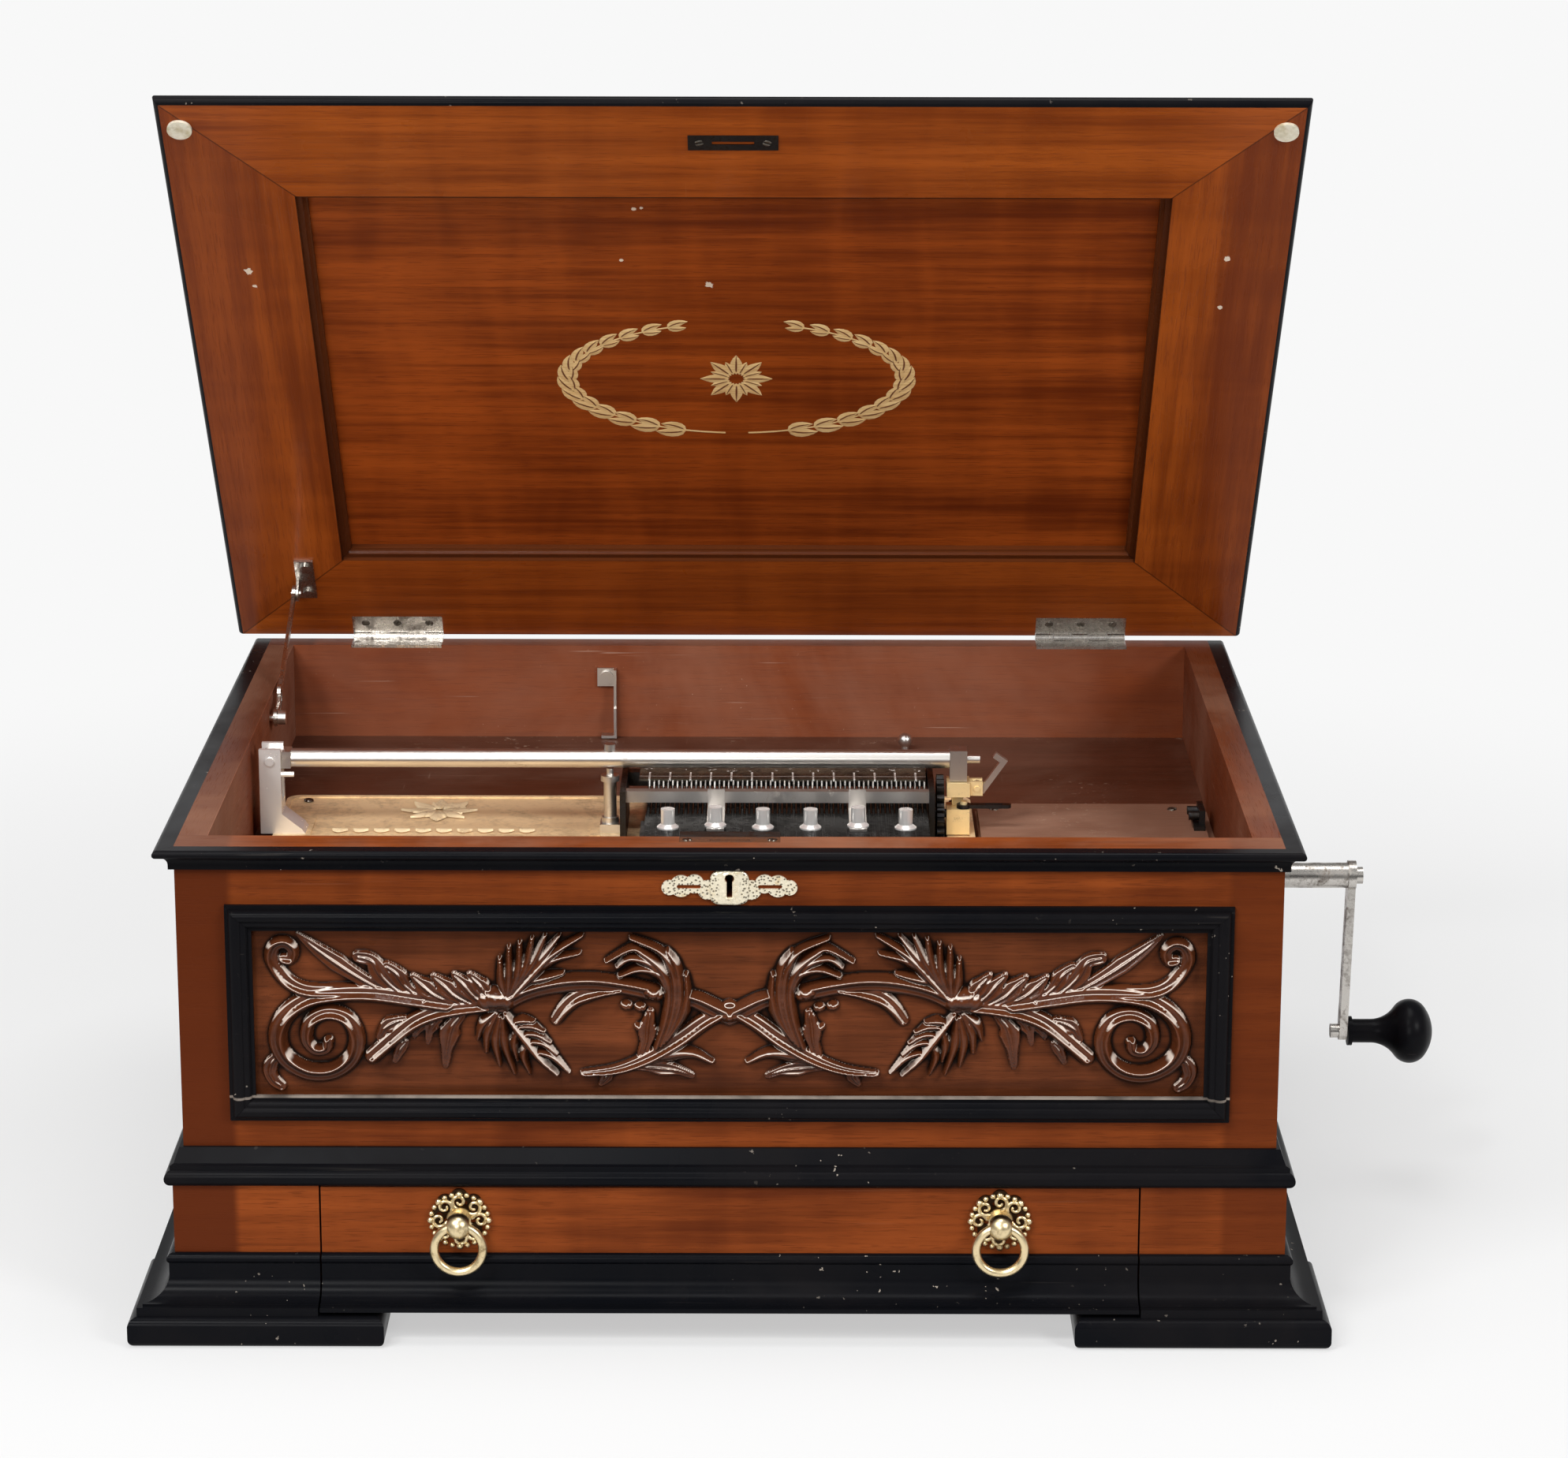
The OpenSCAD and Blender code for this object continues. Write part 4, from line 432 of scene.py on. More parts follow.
# Flakes on the lid with the lid closed: across, forward and back, size
RAIL_FLAKES = (
    (-0.333, -0.133, 0.0022), (-0.330, -0.118, 0.0012), (0.336, -0.148, 0.0020), (0.335, -0.098, 0.0015),
)
PANEL_FLAKES = (
    (-0.068, -0.186, 0.0014), (-0.063, -0.187, 0.0010), (-0.018, -0.109, 0.0022), (-0.078, -0.134, 0.0012),
)


def lid_frame_material(finish):
    """Lid rails: grain along X on the front and back rails, along Y on the stiles; painted shade on the
    stiles' outer parts and in a dark line beside the panel.
    """
    material, shade, skin = new_material(
        "Lid rail mahogany", specular_ior_level=0.10, coat_weight=0.04, coat_roughness=0.12
    )
    flat = shade.closed_lid()
    x, y, _ = shade.split(flat)
    low, high = lid_opening()
    side = shade.less(shade.size(x), high[0])
    near = shade.less(low[1], y)
    far = shade.less(y, high[1])
    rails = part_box("lid_frame")
    stile_w = rails[1][0] - high[0]
    ends = shade.most(shade.sums("DIVIDE", near, FRONT_RAIL), shade.sums("DIVIDE", far, BACK_RAIL))
    stile = shade.over(shade.sums("DIVIDE", side, stile_w), ends)
    turned = shade.stretch(flat, turn=(0, 0, -math.pi / 2), shift=(0.47, 0.21, 0))
    grain = shade.choose(stile, flat, turned)
    wood, marks = shade.wood(grain, finish.lid_light, finish.lid_dark, 0.6)
    # Painted shade: the outer part of each stile, away from the panel, is darkened.
    worn = shade.times(stile, shade.span(side, 0.030, 0.060))
    tone = shade.stain(wood["Color"], worn, 0.35, finish.panel_dark)
    tone = shade.stain(tone, marks["Scratches"], 0.12, (0.45, 0.22, 0.10))
    tone = shade.mix(flakes(shade, flat, RAIL_FLAKES), tone, FLAKE)
    edge = shade.most(side, shade.most(near, far))
    # Painted shade: a dark line along the opening's edge where a bead moulding would lie in shade.
    bead_shade = shade.span(edge, 0.0076, 0.0070)
    mitre = shade.size(shade.less(shade.sums("DIVIDE", side, stile_w), ends))
    seam = shade.times(shade.span(mitre, 0.012, 0.004), 0.7)
    tone = shade.stain(tone, bead_shade, 0.86, finish.carved_dark)
    shade.feed(skin["Base Color"], shade.mix(seam, tone, finish.carved_dark))
    polish(shade, skin, wood, marks, 0.26, 0.14)
    return material


def lid_opening():
    """Corners of the lid's panel opening with the lid closed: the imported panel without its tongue."""
    mesh = NODES["lid_panel"].data
    points = np.empty(len(mesh.vertices) * 3)
    mesh.vertices.foreach_get("co", points)
    turn = np.array(CLOSED)
    points = points.reshape(-1, 3) @ turn[:3, :3].T + turn[:3, 3]
    tongue = np.array((TONGUE, TONGUE, 0.0))
    return points.min(0) + tongue, points.max(0) - tongue


def lid_panel_material(finish):
    """Lid panel: redder mahogany with a lively figure and a thin worn polish."""
    material, shade, skin = new_material(
        "Lid panel mahogany", specular_ior_level=0.10, coat_weight=0.03, coat_roughness=0.14
    )
    flat = shade.closed_lid()
    wood, marks = shade.wood(flat, finish.panel_light, finish.panel_dark, 0.6)
    tone = shade.stain(wood["Color"], marks["Scratches"], 0.10, (0.40, 0.17, 0.08))
    tone = shade.mix(flakes(shade, flat, PANEL_FLAKES), tone, FLAKE)
    shade.feed(skin["Base Color"], tone)
    polish(shade, skin, wood, marks, 0.30, 0.14)
    return material


def carved_material(finish):
    """Carved mahogany: painted shade in the crevices and lighter ridges, partly wear and partly painted
    highlight, from the carving's own ridge value; a painted highlight line along the upward flanks of what
    is raised, and painted shade on its downward flanks."""
    material, shade, skin = new_material(
        "Carved mahogany", specular_ior_level=0.06, coat_roughness=0.14, coat_ior=1.5
    )
    place = shade.place()
    wood, marks = shade.wood(place, finish.carved_light, finish.carved_dark, 0.5)
    ridge = shade.value("ridge")
    # Painted shade: the crevices, where the ridge value is low, darken to near black.
    tone = shade.mix(shade.span(ridge, 0.0, 0.40), (0.009, 0.0035, 0.0018), wood["Color"])
    # Ridges lighter: partly wear, partly painted highlight.
    tone = shade.stain(tone, shade.span(ridge, 0.60, 1.0), 0.45, finish.carved_light)
    raised = shade.span(shade.value("raised"), 0.1, 0.5)
    upward = shade.facing("Z")
    tone = shade.stain(tone, raised, 0.45, finish.carved_dark)
    # Painted shade on the downward flanks of what is raised.
    under = shade.times(raised, shade.span(upward, -0.05, -0.55, 0.0, 0.75))
    tone = shade.mix(under, tone, (0.012, 0.0045, 0.0022))
    # Painted highlight: a pale line along the upward flanks of what is raised.
    line = shade.times(shade.span(upward, 0.36, 0.48), shade.span(upward, 0.70, 0.56))
    line = shade.times(shade.times(raised, line), 0.80)
    tone = shade.mix(line, tone, (0.84, 0.71, 0.61))
    shade.feed(skin["Base Color"], tone)
    shade.feed(skin["Coat Weight"], shade.plus(0.03, shade.times(raised, 0.40)))
    polish(shade, skin, wood, marks, 0.26, 0.12)
    return material


def ebony_material(name, finish, highlight_height=None):
    """Black polish on the mouldings: blue-black, with faint brush marks, pale chips, and a ragged pale line
    along one height that is a painted highlight."""
    material, shade, skin = new_material(name, specular_ior_level=0.045)
    place = shade.place()
    marks = shade.group("Marks of use", {"Vector": place, "Amount": 0.62})
    brown = shade.mix(shade.times(marks["Bloom"], 0.45), finish.ebony, (0.011, 0.009, 0.009))
    tone = shade.stain(brown, marks["Scratches"], 0.05, finish.chip)
    tone = shade.stain(tone, marks["Chips"], 0.75, finish.chip)
    if highlight_height:
        # Painted highlight: a ragged pale line along the given height.
        off = shade.size(shade.less(shade.split(place)["Z"], highlight_height))
        ragged = shade.span(shade.noise(shade.stretch(place, (30, 30, 30)), 1.0, 3), 0.25, 0.6, 0.25, 1.0)
        tone = shade.stain(tone, shade.span(off, 0.0011, 0.0006), ragged, (0.30, 0.25, 0.21))
    shade.feed(skin["Base Color"], tone)
    rough = shade.plus(0.24, shade.times(marks["Bloom"], 0.16))
    shade.feed(skin["Roughness"], shade.plus(rough, shade.times(marks["Chips"], 0.4)))
    ripple = shade.noise(shade.stretch(place, (14, 60, 60)), 1.0, 3)
    height = shade.less(shade.times(ripple, 0.5), marks["Chips"])
    shade.feed(skin["Normal"], shade.bump(height, 0.14, 0.0005))
    return material


def metal_material(name, bright, dull, amount, scale, metallic=1.0, roughness=0.0, relief=0.1):
    """Old metal of the given colours from the tarnish group."""
    material, shade, skin = new_material(name, metallic=metallic)
    skinned = shade.metal(shade.place(), bright, dull, amount, scale)
    shade.feed(skin["Base Color"], skinned["Color"])
    shade.feed(skin["Roughness"], shade.plus(skinned["Roughness"], roughness, clamp=True))
    shade.feed(skin["Normal"], shade.bump(skinned["Height"], relief, 0.0004))
    return material


def bed_material(finish):
    """Gilt iron bedplate, with near black painted shade under the comb and the star wheels."""
    material, shade, skin = new_material("Gilt iron", metallic=0.30)
    place = shade.place()
    skinned = shade.metal(place, finish.gilt, finish.gilt_dull, 0.55, 24.0)
    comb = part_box("comb")
    middle = (comb[0][0] + comb[1][0]) / 2
    beside = shade.size(shade.less(shade.split(place)["X"], middle))
    # Painted shade: near black on the strip under the comb and the star wheels.
    under = shade.span(beside, 0.104, 0.099, 0.0, 0.92)
    shade.feed(skin["Base Color"], shade.mix(under, skinned["Color"], (0.016, 0.013, 0.010)))
    shade.feed(skin["Roughness"], shade.plus(skinned["Roughness"], 0.20, clamp=True))
    shade.feed(skin["Normal"], shade.bump(skinned["Height"], 0.3, 0.0004))
    return material


def mount_material():
    """Pale gilt mount: rows of small hollows, dark with painted shade, left smooth beside the keyhole."""
    material, shade, skin = new_material("Gilt mount", metallic=0.4)
    place = shade.place()
    skinned = shade.metal(place, (0.95, 0.86, 0.66), (0.62, 0.47, 0.25), 0.42, 90.0)
    upright = shade.stretch(place, turn=(math.pi / 2, 0, 0))
    feeds = {"Vector": upright, "Scale": 420.0}
    cells = shade.add("TexVoronoi", feeds, out="Distance", voronoi_dimensions="2D")
    beside = shade.span(shade.size(shade.split(place)["X"]), 0.0060, 0.0080)
    # Painted shade: the hollows are dark dots in the colour, besides a bump.
    hollows = shade.times(shade.span(cells, 0.32, 0.20), beside)
    tone = shade.stain(skinned["Color"], hollows, 0.80, (0.055, 0.036, 0.020))
    shade.feed(skin["Base Color"], tone)
    shade.feed(skin["Roughness"], skinned["Roughness"])
    shade.feed(skin["Normal"], shade.bump(cells, 0.5, 0.0006))
    return material


def lock_material():
    """Lock: browned plate in the rim, much darker on the inner side of the front board."""
    material, shade, skin = new_material("Browned lock", metallic=0.3)
    place = shade.place()
    skinned = shade.metal(place, (0.15, 0.062, 0.030), (0.075, 0.030, 0.016), 0.6, 60.0)
    inner = shade.over(shade.split(place)["Y"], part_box("case_front")[1][1] - 0.0005)
    shade.feed(skin["Base Color"], shade.mix(inner, skinned["Color"], (0.016, 0.010, 0.007)))
    shade.feed(skin["Roughness"], shade.plus(skinned["Roughness"], 0.15))
    return material


def pull_centre(ornament):
    """Middle of the right drawer pull's rosette."""
    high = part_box("pull_plates")[1]
    return np.array((high[0] - ornament.rosette_r, 0.0, high[2] - ornament.rosette_r))


def pull_material(finish, ornament):
    """Drawer pulls: bright brass on the boss, painted shade on the plate between its scrolls."""
    material, shade, skin = new_material("Pull brass", metallic=1.0)
    place = shade.place()
    skinned = shade.metal(place, finish.brass, finish.brass_dull, 0.42, 70.0)
    x, _, z = shade.split(place)
    centre = pull_centre(ornament)
    across = shade.less(shade.size(x), centre[0])
    up = shade.less(z, centre[2] - 0.003)
    away = shade.sums("SQRT", shade.plus(shade.sums("POWER", across, 2.0), shade.sums("POWER", up, 2.0)))
    # Painted shade on the plate between the scrolls, away from the boss.
    scroll_gap_shade = shade.span(away, 0.0075, 0.0090)
    shade.feed(skin["Base Color"], shade.mix(scroll_gap_shade, skinned["Color"], (0.030, 0.016, 0.008)))
    shade.feed(skin["Roughness"], shade.plus(skinned["Roughness"], 0.08))
    return material


def stripes(shade, place, pitch):
    """Narrow lines across X: 1 on a line, 0 between, one line for each pitch."""
    turn = shade.sums("DIVIDE", shade.split(place)["X"], pitch)
    return shade.span(shade.size(shade.less(shade.sums("FRACT", turn), 0.5)), 0.16, 0.26)


def comb_material(finish):
    """Blackened steel of the comb: brush lines along the teeth, and dark lines of painted shade where the
    slots between them are.
    """
    material, shade, skin = new_material("Comb steel", specular_ior_level=0.02)
    place = shade.place()
    lines = shade.noise(shade.stretch(place, (900, 25, 25)), 1.0, 3)
    skinned = shade.metal(place, finish.steel, finish.steel_dull, 0.5, 26.0)
    tone = shade.mix(shade.span(lines, 0.4, 0.7), (0.008, 0.007, 0.006), (0.030, 0.028, 0.027))
    # Painted shade: darker lines where the slots between the teeth are.
    slots = shade.times(stripes(shade, place, TOOTH_PITCH), 0.8)
    shade.feed(skin["Base Color"], shade.mix(slots, tone, (0.004, 0.004, 0.004)))
    shade.feed(skin["Roughness"], skinned["Roughness"])
    shade.feed(skin["Normal"], shade.bump(lines, 0.12, 0.0002))
    return material


def star_material(finish):
    """Star wheels seen as a fine comb of bright edges with painted shade in the gaps between them."""
    material, shade, skin = new_material("Star wheel steel", metallic=0.6)
    place = shade.place()
    skinned = shade.metal(place, finish.nickel, finish.nickel_dull, 0.5, 60.0)
    # Painted shade in the gaps between the wheels.
    gaps = stripes(shade, place, TOOTH_PITCH)
    shade.feed(skin["Base Color"], shade.mix(gaps, skinned["Color"], (0.020, 0.017, 0.014)))
    shade.feed(skin["Roughness"], shade.plus(skinned["Roughness"], shade.times(gaps, 0.2)))
    return material


def scale_material(finish):
    """Engraved scale plate: dark, with bright ticks along its front edge and faint figures behind."""
    material, shade, skin = new_material("Scale plate", specular_ior_level=0.2)
    place = shade.place()
    low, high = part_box("scale_plate")
    x, y, _ = shade.split(place)
    skinned = shade.metal(place, (0.105, 0.088, 0.062), finish.steel_dull, 0.6, 60.0)
    step = (high[0] - low[0]) / 14
    turn = shade.sums("DIVIDE", shade.less(x, low[0]), step)
    near = shade.size(shade.less(shade.sums("FRACT", turn), 0.5))
    line = shade.under(near, 0.045)
    front = shade.less(y, low[1])
    tick = shade.times(line, shade.under(front, 0.018))
    rule = shade.under(shade.size(shade.less(front, 0.0075)), 0.0009)
    worn = shade.span(shade.noise(place, 260.0, 3, 0.7), 0.60, 0.66)
    band = shade.under(shade.size(shade.less(front, 0.0240)), 0.0040)
    figures = shade.times(shade.times(worn, band), shade.span(near, 0.30, 0.22))
    bright = shade.most(tick, shade.most(shade.times(rule, 0.5), figures))
    shade.feed(skin["Base Color"], shade.mix(bright, skinned["Color"], (0.95, 0.92, 0.86)))
    shade.feed(skin["Roughness"], shade.plus(skinned["Roughness"], shade.times(bright, 0.25)))
    return material


def ivory_material(finish):
    """Ivory of the rest pads, yellowed in patches."""
    material, shade, skin = new_material("Ivory", subsurface_weight=0.15, coat_weight=0.2)
    cloud = shade.noise(shade.place(), 140.0, 4)
    tone = shade.mix(shade.span(cloud, 0.35, 0.7), finish.ivory, (0.60, 0.46, 0.28))
    shade.feed(skin["Base Color"], tone)
    shade.feed(skin["Roughness"], shade.span(cloud, 0.2, 0.8, 0.3, 0.5))
    return material


def inlay_material(finish):
    """Pale inlaid wood with a fine grain and an engraved vein from the piece's own vein value."""
    material, shade, skin = new_material("Inlaid maple", coat_weight=0.4, coat_roughness=0.14)
    flat = shade.closed_lid()
    grain = shade.noise(shade.stretch(flat, (40, 500, 500)), 1.0, 4)
    vein = shade.value("vein")
    tone = shade.mix(shade.span(grain, 0.3, 0.7), finish.inlay, (0.78, 0.50, 0.21))
    shade.feed(skin["Base Color"], shade.mix(shade.span(vein, 0.5, 0.9), tone, finish.panel_dark))
    shade.feed(skin["Roughness"], shade.span(grain, 0.2, 0.8, 0.28, 0.44))
    return material


# Surfaces


def grid_faces(rows, columns, close_rows=False, close_columns=False):
    """Quads of a grid of points given row by row; a closed direction joins its last line to its first."""
    r = np.arange(rows if close_rows else rows - 1)
    c = np.arange(columns if close_columns else columns - 1)
    r, c = (a.ravel() for a in np.meshgrid(r, c, indexing="ij"))
    after_r, after_c = (r + 1) % rows, (c + 1) % columns
    here, beyond = r * columns, after_r * columns
    return np.stack([here + c, here + after_c, beyond + after_c, beyond + c], 1)


def repeated_faces(faces, points, count):
    """The same faces for a number of copies of one set of points."""
    return (faces[None] + points * np.arange(count)[:, None, None]).reshape(-1, faces.shape[1])


def put(name, points, faces, body, material, values=None):
    """A smooth mesh piece at the origin that rides on a body; values is a named value for each point."""
    mesh = bpy.data.meshes.new(name)
    mesh.from_pydata(np.asarray(points).reshape(-1, 3).tolist(), [], np.asarray(faces).tolist())
    for label, numbers in (values or {}).items():
        store = mesh.attributes.new(label, "FLOAT", "POINT")
        store.data.foreach_set("value", np.asarray(numbers, dtype=np.float32).ravel())
    mesh.shade_smooth()
    mesh.materials.append(material)
    piece = bpy.data.objects.new(name, mesh)
    bpy.context.scene.collection.objects.link(piece)
    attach(piece, body)
    return piece


def curve_points(knots, step):
    """A smooth curve through the knots (Catmull-Rom), sampled about every step."""
    knots = np.asarray(knots, dtype=float)
    padded = np.vstack([2 * knots[0] - knots[1], knots, 2 * knots[-1] - knots[-2]])
    reach = np.linalg.norm(np.diff(knots, axis=0), axis=1).sum()
    count = max(int(reach / step), 8)
    at = np.linspace(0, len(knots) - 1 - 1e-9, count)
    i = at.astype(int)
    t = (at - i)[:, None]
    a, b, c, d = (padded[i + k] for k in range(4))
    return 0.5 * (2 * b + (c - a) * t + (2 * a - 5 * b + 4 * c - d) * t**2 + (3 * b - a - 3 * c + d) * t**3)


# Carving: kind, height, half widths at start, middle and end, lobes, and the points of the left half
# in millimetres from the panel's middle
STROKES = [
    ("band", 7.0, (4.5, 4.8, 2.5), 0, [(-182.8, 5.0), (-207.2, 8.8), (-231.6, 12.2), (-253.9, 11.8),
     (-273.2, 7.6), (-287.4, -3.5), (-292.5, -18.4), (-287.4, -32.2), (-273.2, -41.1), (-257.0, -40.7),
     (-244.8, -31.6), (-241.3, -17.3), (-247.4, -4.6), (-259.6, -0.9), (-270.8, -6.7), (-273.8, -18.0),
     (-269.1, -25.8), (-261.6, -25.8), (-259.6, -20.1)]),
    ("band", 5.5, (4.0, 3.8, 2.8), 0, [(-199.1, 8.8), (-225.5, 12.9), (-249.9, 13.5), (-271.2, 13.9),
     (-283.4, 18.8), (-291.5, 28.0), (-295.3, 36.9), (-292.9, 44.2), (-286.4, 46.3), (-281.3, 41.6),
     (-282.7, 35.2), (-287.2, 35.2)]),
    ("leaf", 4.5, (1.5, 4.5, 2.5), 1, [(-288.8, -28.6), (-295.5, -33.7), (-298.2, -40.7), (-295.7, -47.1),
     (-290.9, -51.4)]),
    ("leaf", 4.8, (1.0, 5.5, 2.0), 1, [(-277.9, 52.2), (-264.1, 40.7), (-247.8, 28.8), (-231.6, 18.6),
     (-217.4, 11.4)]),
    ("leaf", 5.0, (3.0, 5.0, 2.5), 2, [(-239.3, 36.9), (-230.6, 34.4), (-225.1, 25.2), (-217.4, 16.7),
     (-207.2, 10.1)]),
    ("leaf", 5.0, (2.5, 4.5, 2.5), 2, [(-221.0, 30.5), (-214.9, 25.9), (-209.2, 17.4), (-199.1, 8.8)]),
    ("leaf", 5.6, (1.5, 5.0, 2.5), 2, [(-204.2, 23.7), (-199.1, 18.8), (-191.0, 11.8), (-180.8, 6.7)]),
    ("leaf", 5.8, (1.5, 5.0, 2.5), 2, [(-191.0, 23.7), (-185.3, 18.8), (-177.8, 11.4), (-168.6, 5.9)]),
    ("leaf", 6.0, (1.5, 5.0, 2.5), 2, [(-177.8, 25.0), (-172.3, 19.5), (-166.2, 11.8), (-159.5, 5.9)]),
    ("leaf", 6.2, (1.5, 4.5, 2.5), 2, [(-167.6, 25.0), (-162.1, 19.5), (-156.9, 12.2), (-153.4, 7.1)]),
    ("round", 7.6, (6.0, 6.5, 5.0), 0, [(-156.5, 7.6), (-150.4, 8.8), (-144.3, 7.6)]),
    ("band", 6.6, (4.0, 4.8, 4.5), 0, [(-147.3, 4.0), (-130.1, 13.5), (-109.8, 18.8), (-89.4, 20.3),
     (-69.1, 17.8), (-47.6, 12.9)]),
    ("round", 8.0, (3.5, 4.0, 3.5), 0, [(-51.9, 14.4), (-48.8, 13.3), (-46.4, 12.0)]),
    ("band", 6.0, (2.0, 4.5, 3.0), 0, [(-71.2, 15.2), (-85.4, 13.5), (-97.6, 10.1), (-105.7, 3.3),
     (-112.2, -5.6)]),
    ("band", 6.4, (3.0, 4.5, 4.0), 0, [(-156.5, 3.5), (-172.7, 2.2), (-188.9, -0.5), (-203.2, -6.7),
     (-216.4, -17.3), (-231.2, -30.7)]),
    ("leaf", 4.6, (2.0, 5.5, 1.5), 2, [(-172.7, -1.8), (-179.8, -10.9), (-182.8, -23.7), (-184.1, -37.1)]),
    ("leaf", 4.4, (2.0, 4.0, 1.0), 2, [(-186.9, -3.9), (-193.0, -10.3), (-195.4, -21.6)]),
    ("leaf", 4.2, (2.0, 3.5, 1.0), 1, [(-197.1, -7.7), (-202.1, -12.4), (-204.0, -18.0)]),
    ("leaf", 4.4, (2.0, 4.0, 2.0), 2, [(-210.3, -5.6), (-217.4, -7.7), (-223.5, -12.0), (-226.3, -18.0)]),
    ("leaf", 4.0, (1.5, 3.5, 1.5), 1, [(-209.7, -21.6), (-213.7, -26.9), (-216.6, -33.7)]),
    ("band", 6.2, (4.0, 4.5, 1.5), 0, [(-0.1, 2.9), (-16.3, -6.7), (-32.6, -18.8), (-52.9, -31.1),
     (-73.2, -39.0), (-95.1, -41.8)]),
    ("leaf", 5.6, (2.0, 5.0, 2.5), 2, [(-51.3, -0.5), (-52.9, -8.8), (-53.9, -19.4), (-56.6, -29.0)]),
    ("leaf", 4.4, (1.5, 4.0, 1.5), 2, [(-63.0, -37.1), (-48.8, -38.0), (-34.6, -39.7), (-24.5, -43.5)]),
    ("leaf", 4.2, (1.5, 4.0, 1.5), 1, [(-77.3, -40.7), (-80.3, -45.0), (-83.4, -49.2)]),
    ("band", 6.6, (4.0, 4.8, 4.8), 0, [(-29.5, 10.3), (-20.4, 7.6), (-10.3, 2.5), (0.9, -3.9)]),
    ("round", 5.0, (2.6, 2.8, 2.6), 0, [(-67.5, 4.2), (-66.7, 4.0), (-65.9, 3.7)]),
    ("round", 4.8, (2.4, 2.6, 2.4), 0, [(-58.6, 3.1), (-57.8, 2.9), (-57.0, 2.7)]),
    ("round", 4.2, (2.0, 2.2, 2.0), 0, [(-59.4, -10.3), (-58.8, -10.7), (-58.2, -11.2)]),
    ("round", 7.4, (3.5, 3.8, 3.5), 0, [(-2.5, -1.8), (-0.1, -1.8), (2.3, -1.8)]),
]


# Fluted leaves of the left half: height, half width, and the middle line of each flute
FLUTED = [
    (6.2, 3.0, [[(-144.5, 8.5), (-147.0, 22.0), (-148.0, 36.5)],
                [(-143.5, 9.5), (-142.0, 26.0), (-142.0, 44.0)],
                [(-142.0, 11.0), (-136.0, 29.0), (-135.0, 47.0)],
                [(-140.0, 13.5), (-131.0, 32.0), (-127.0, 50.0)],
                [(-137.5, 16.5), (-125.5, 35.5), (-118.5, 52.0)],
                [(-133.0, 20.5), (-119.5, 38.5), (-109.5, 52.0)],
                [(-128.5, 23.5), (-114.0, 35.5), (-96.5, 40.0)],
                [(-130.5, 20.5), (-119.5, 23.5), (-107.5, 26.5)]]),
    (7.0, 3.4, [[(-143.5, 6.5), (-128.5, 23.5), (-114.0, 39.5), (-95.0, 52.0)]]),
    (5.6, 2.6, [[(-140.0, -7.0), (-133.0, -5.5), (-126.5, -6.5)],
                [(-137.5, -10.0), (-128.0, -9.5), (-120.0, -13.5)],
                [(-134.5, -15.0), (-125.0, -15.0), (-116.0, -21.0)],
                [(-131.0, -20.0), (-121.0, -21.0), (-112.0, -29.0)],
                [(-126.0, -26.5), (-115.0, -30.0), (-104.0, -41.5)],
                [(-137.5, -11.5), (-139.5, -22.0), (-137.5, -33.0)],
                [(-131.0, -20.5), (-133.5, -30.0), (-129.5, -42.0)]]),
    (7.4, 3.0, [[(-145.0, -1.0), (-135.0, -15.0), (-124.0, -30.0), (-111.5, -42.5)]]),
    (4.8, 3.2, [[(-151.5, -0.5), (-159.5, -8.5), (-163.0, -18.5)],
                [(-150.5, -1.5), (-156.5, -14.0), (-157.5, -27.5)],
                [(-148.5, -3.5), (-151.5, -19.5), (-149.0, -36.5)],
                [(-146.5, -4.5), (-145.5, -22.0), (-139.5, -42.0)]]),
    (7.6, 3.6, [[(-47.5, -23.5), (-41.0, -3.0), (-39.0, 16.0), (-44.0, 30.0),
                 (-56.0, 41.0), (-63.5, 43.5), (-79.5, 34.5)],
                [(-44.5, -22.0), (-37.0, -0.5), (-35.0, 18.5), (-38.0, 32.0), (-45.5, 42.5), (-63.5, 50.5)],
                [(-42.5, -20.0), (-34.0, -0.5), (-32.0, 16.0), (-34.0, 32.0), (-40.0, 42.0)],
                [(-40.5, -18.0), (-31.0, -2.0), (-27.5, 12.0), (-28.0, 26.0)],
                [(-40.0, 14.0), (-45.5, 26.5), (-57.5, 30.0), (-71.0, 25.0)],
                [(-40.0, 19.5), (-51.0, 33.5), (-63.5, 37.5), (-72.5, 31.0)]]),
    (5.0, 4.4, [[(-64.0, -36.5), (-43.5, -30.0), (-25.5, -28.0), (-11.5, -34.0)]]),
]
STROKES += [
    ("flute", high, (0.5 * wide, wide, 0.35 * wide), 0, knots)
    for high, wide, lines in FLUTED
    for knots in lines
]


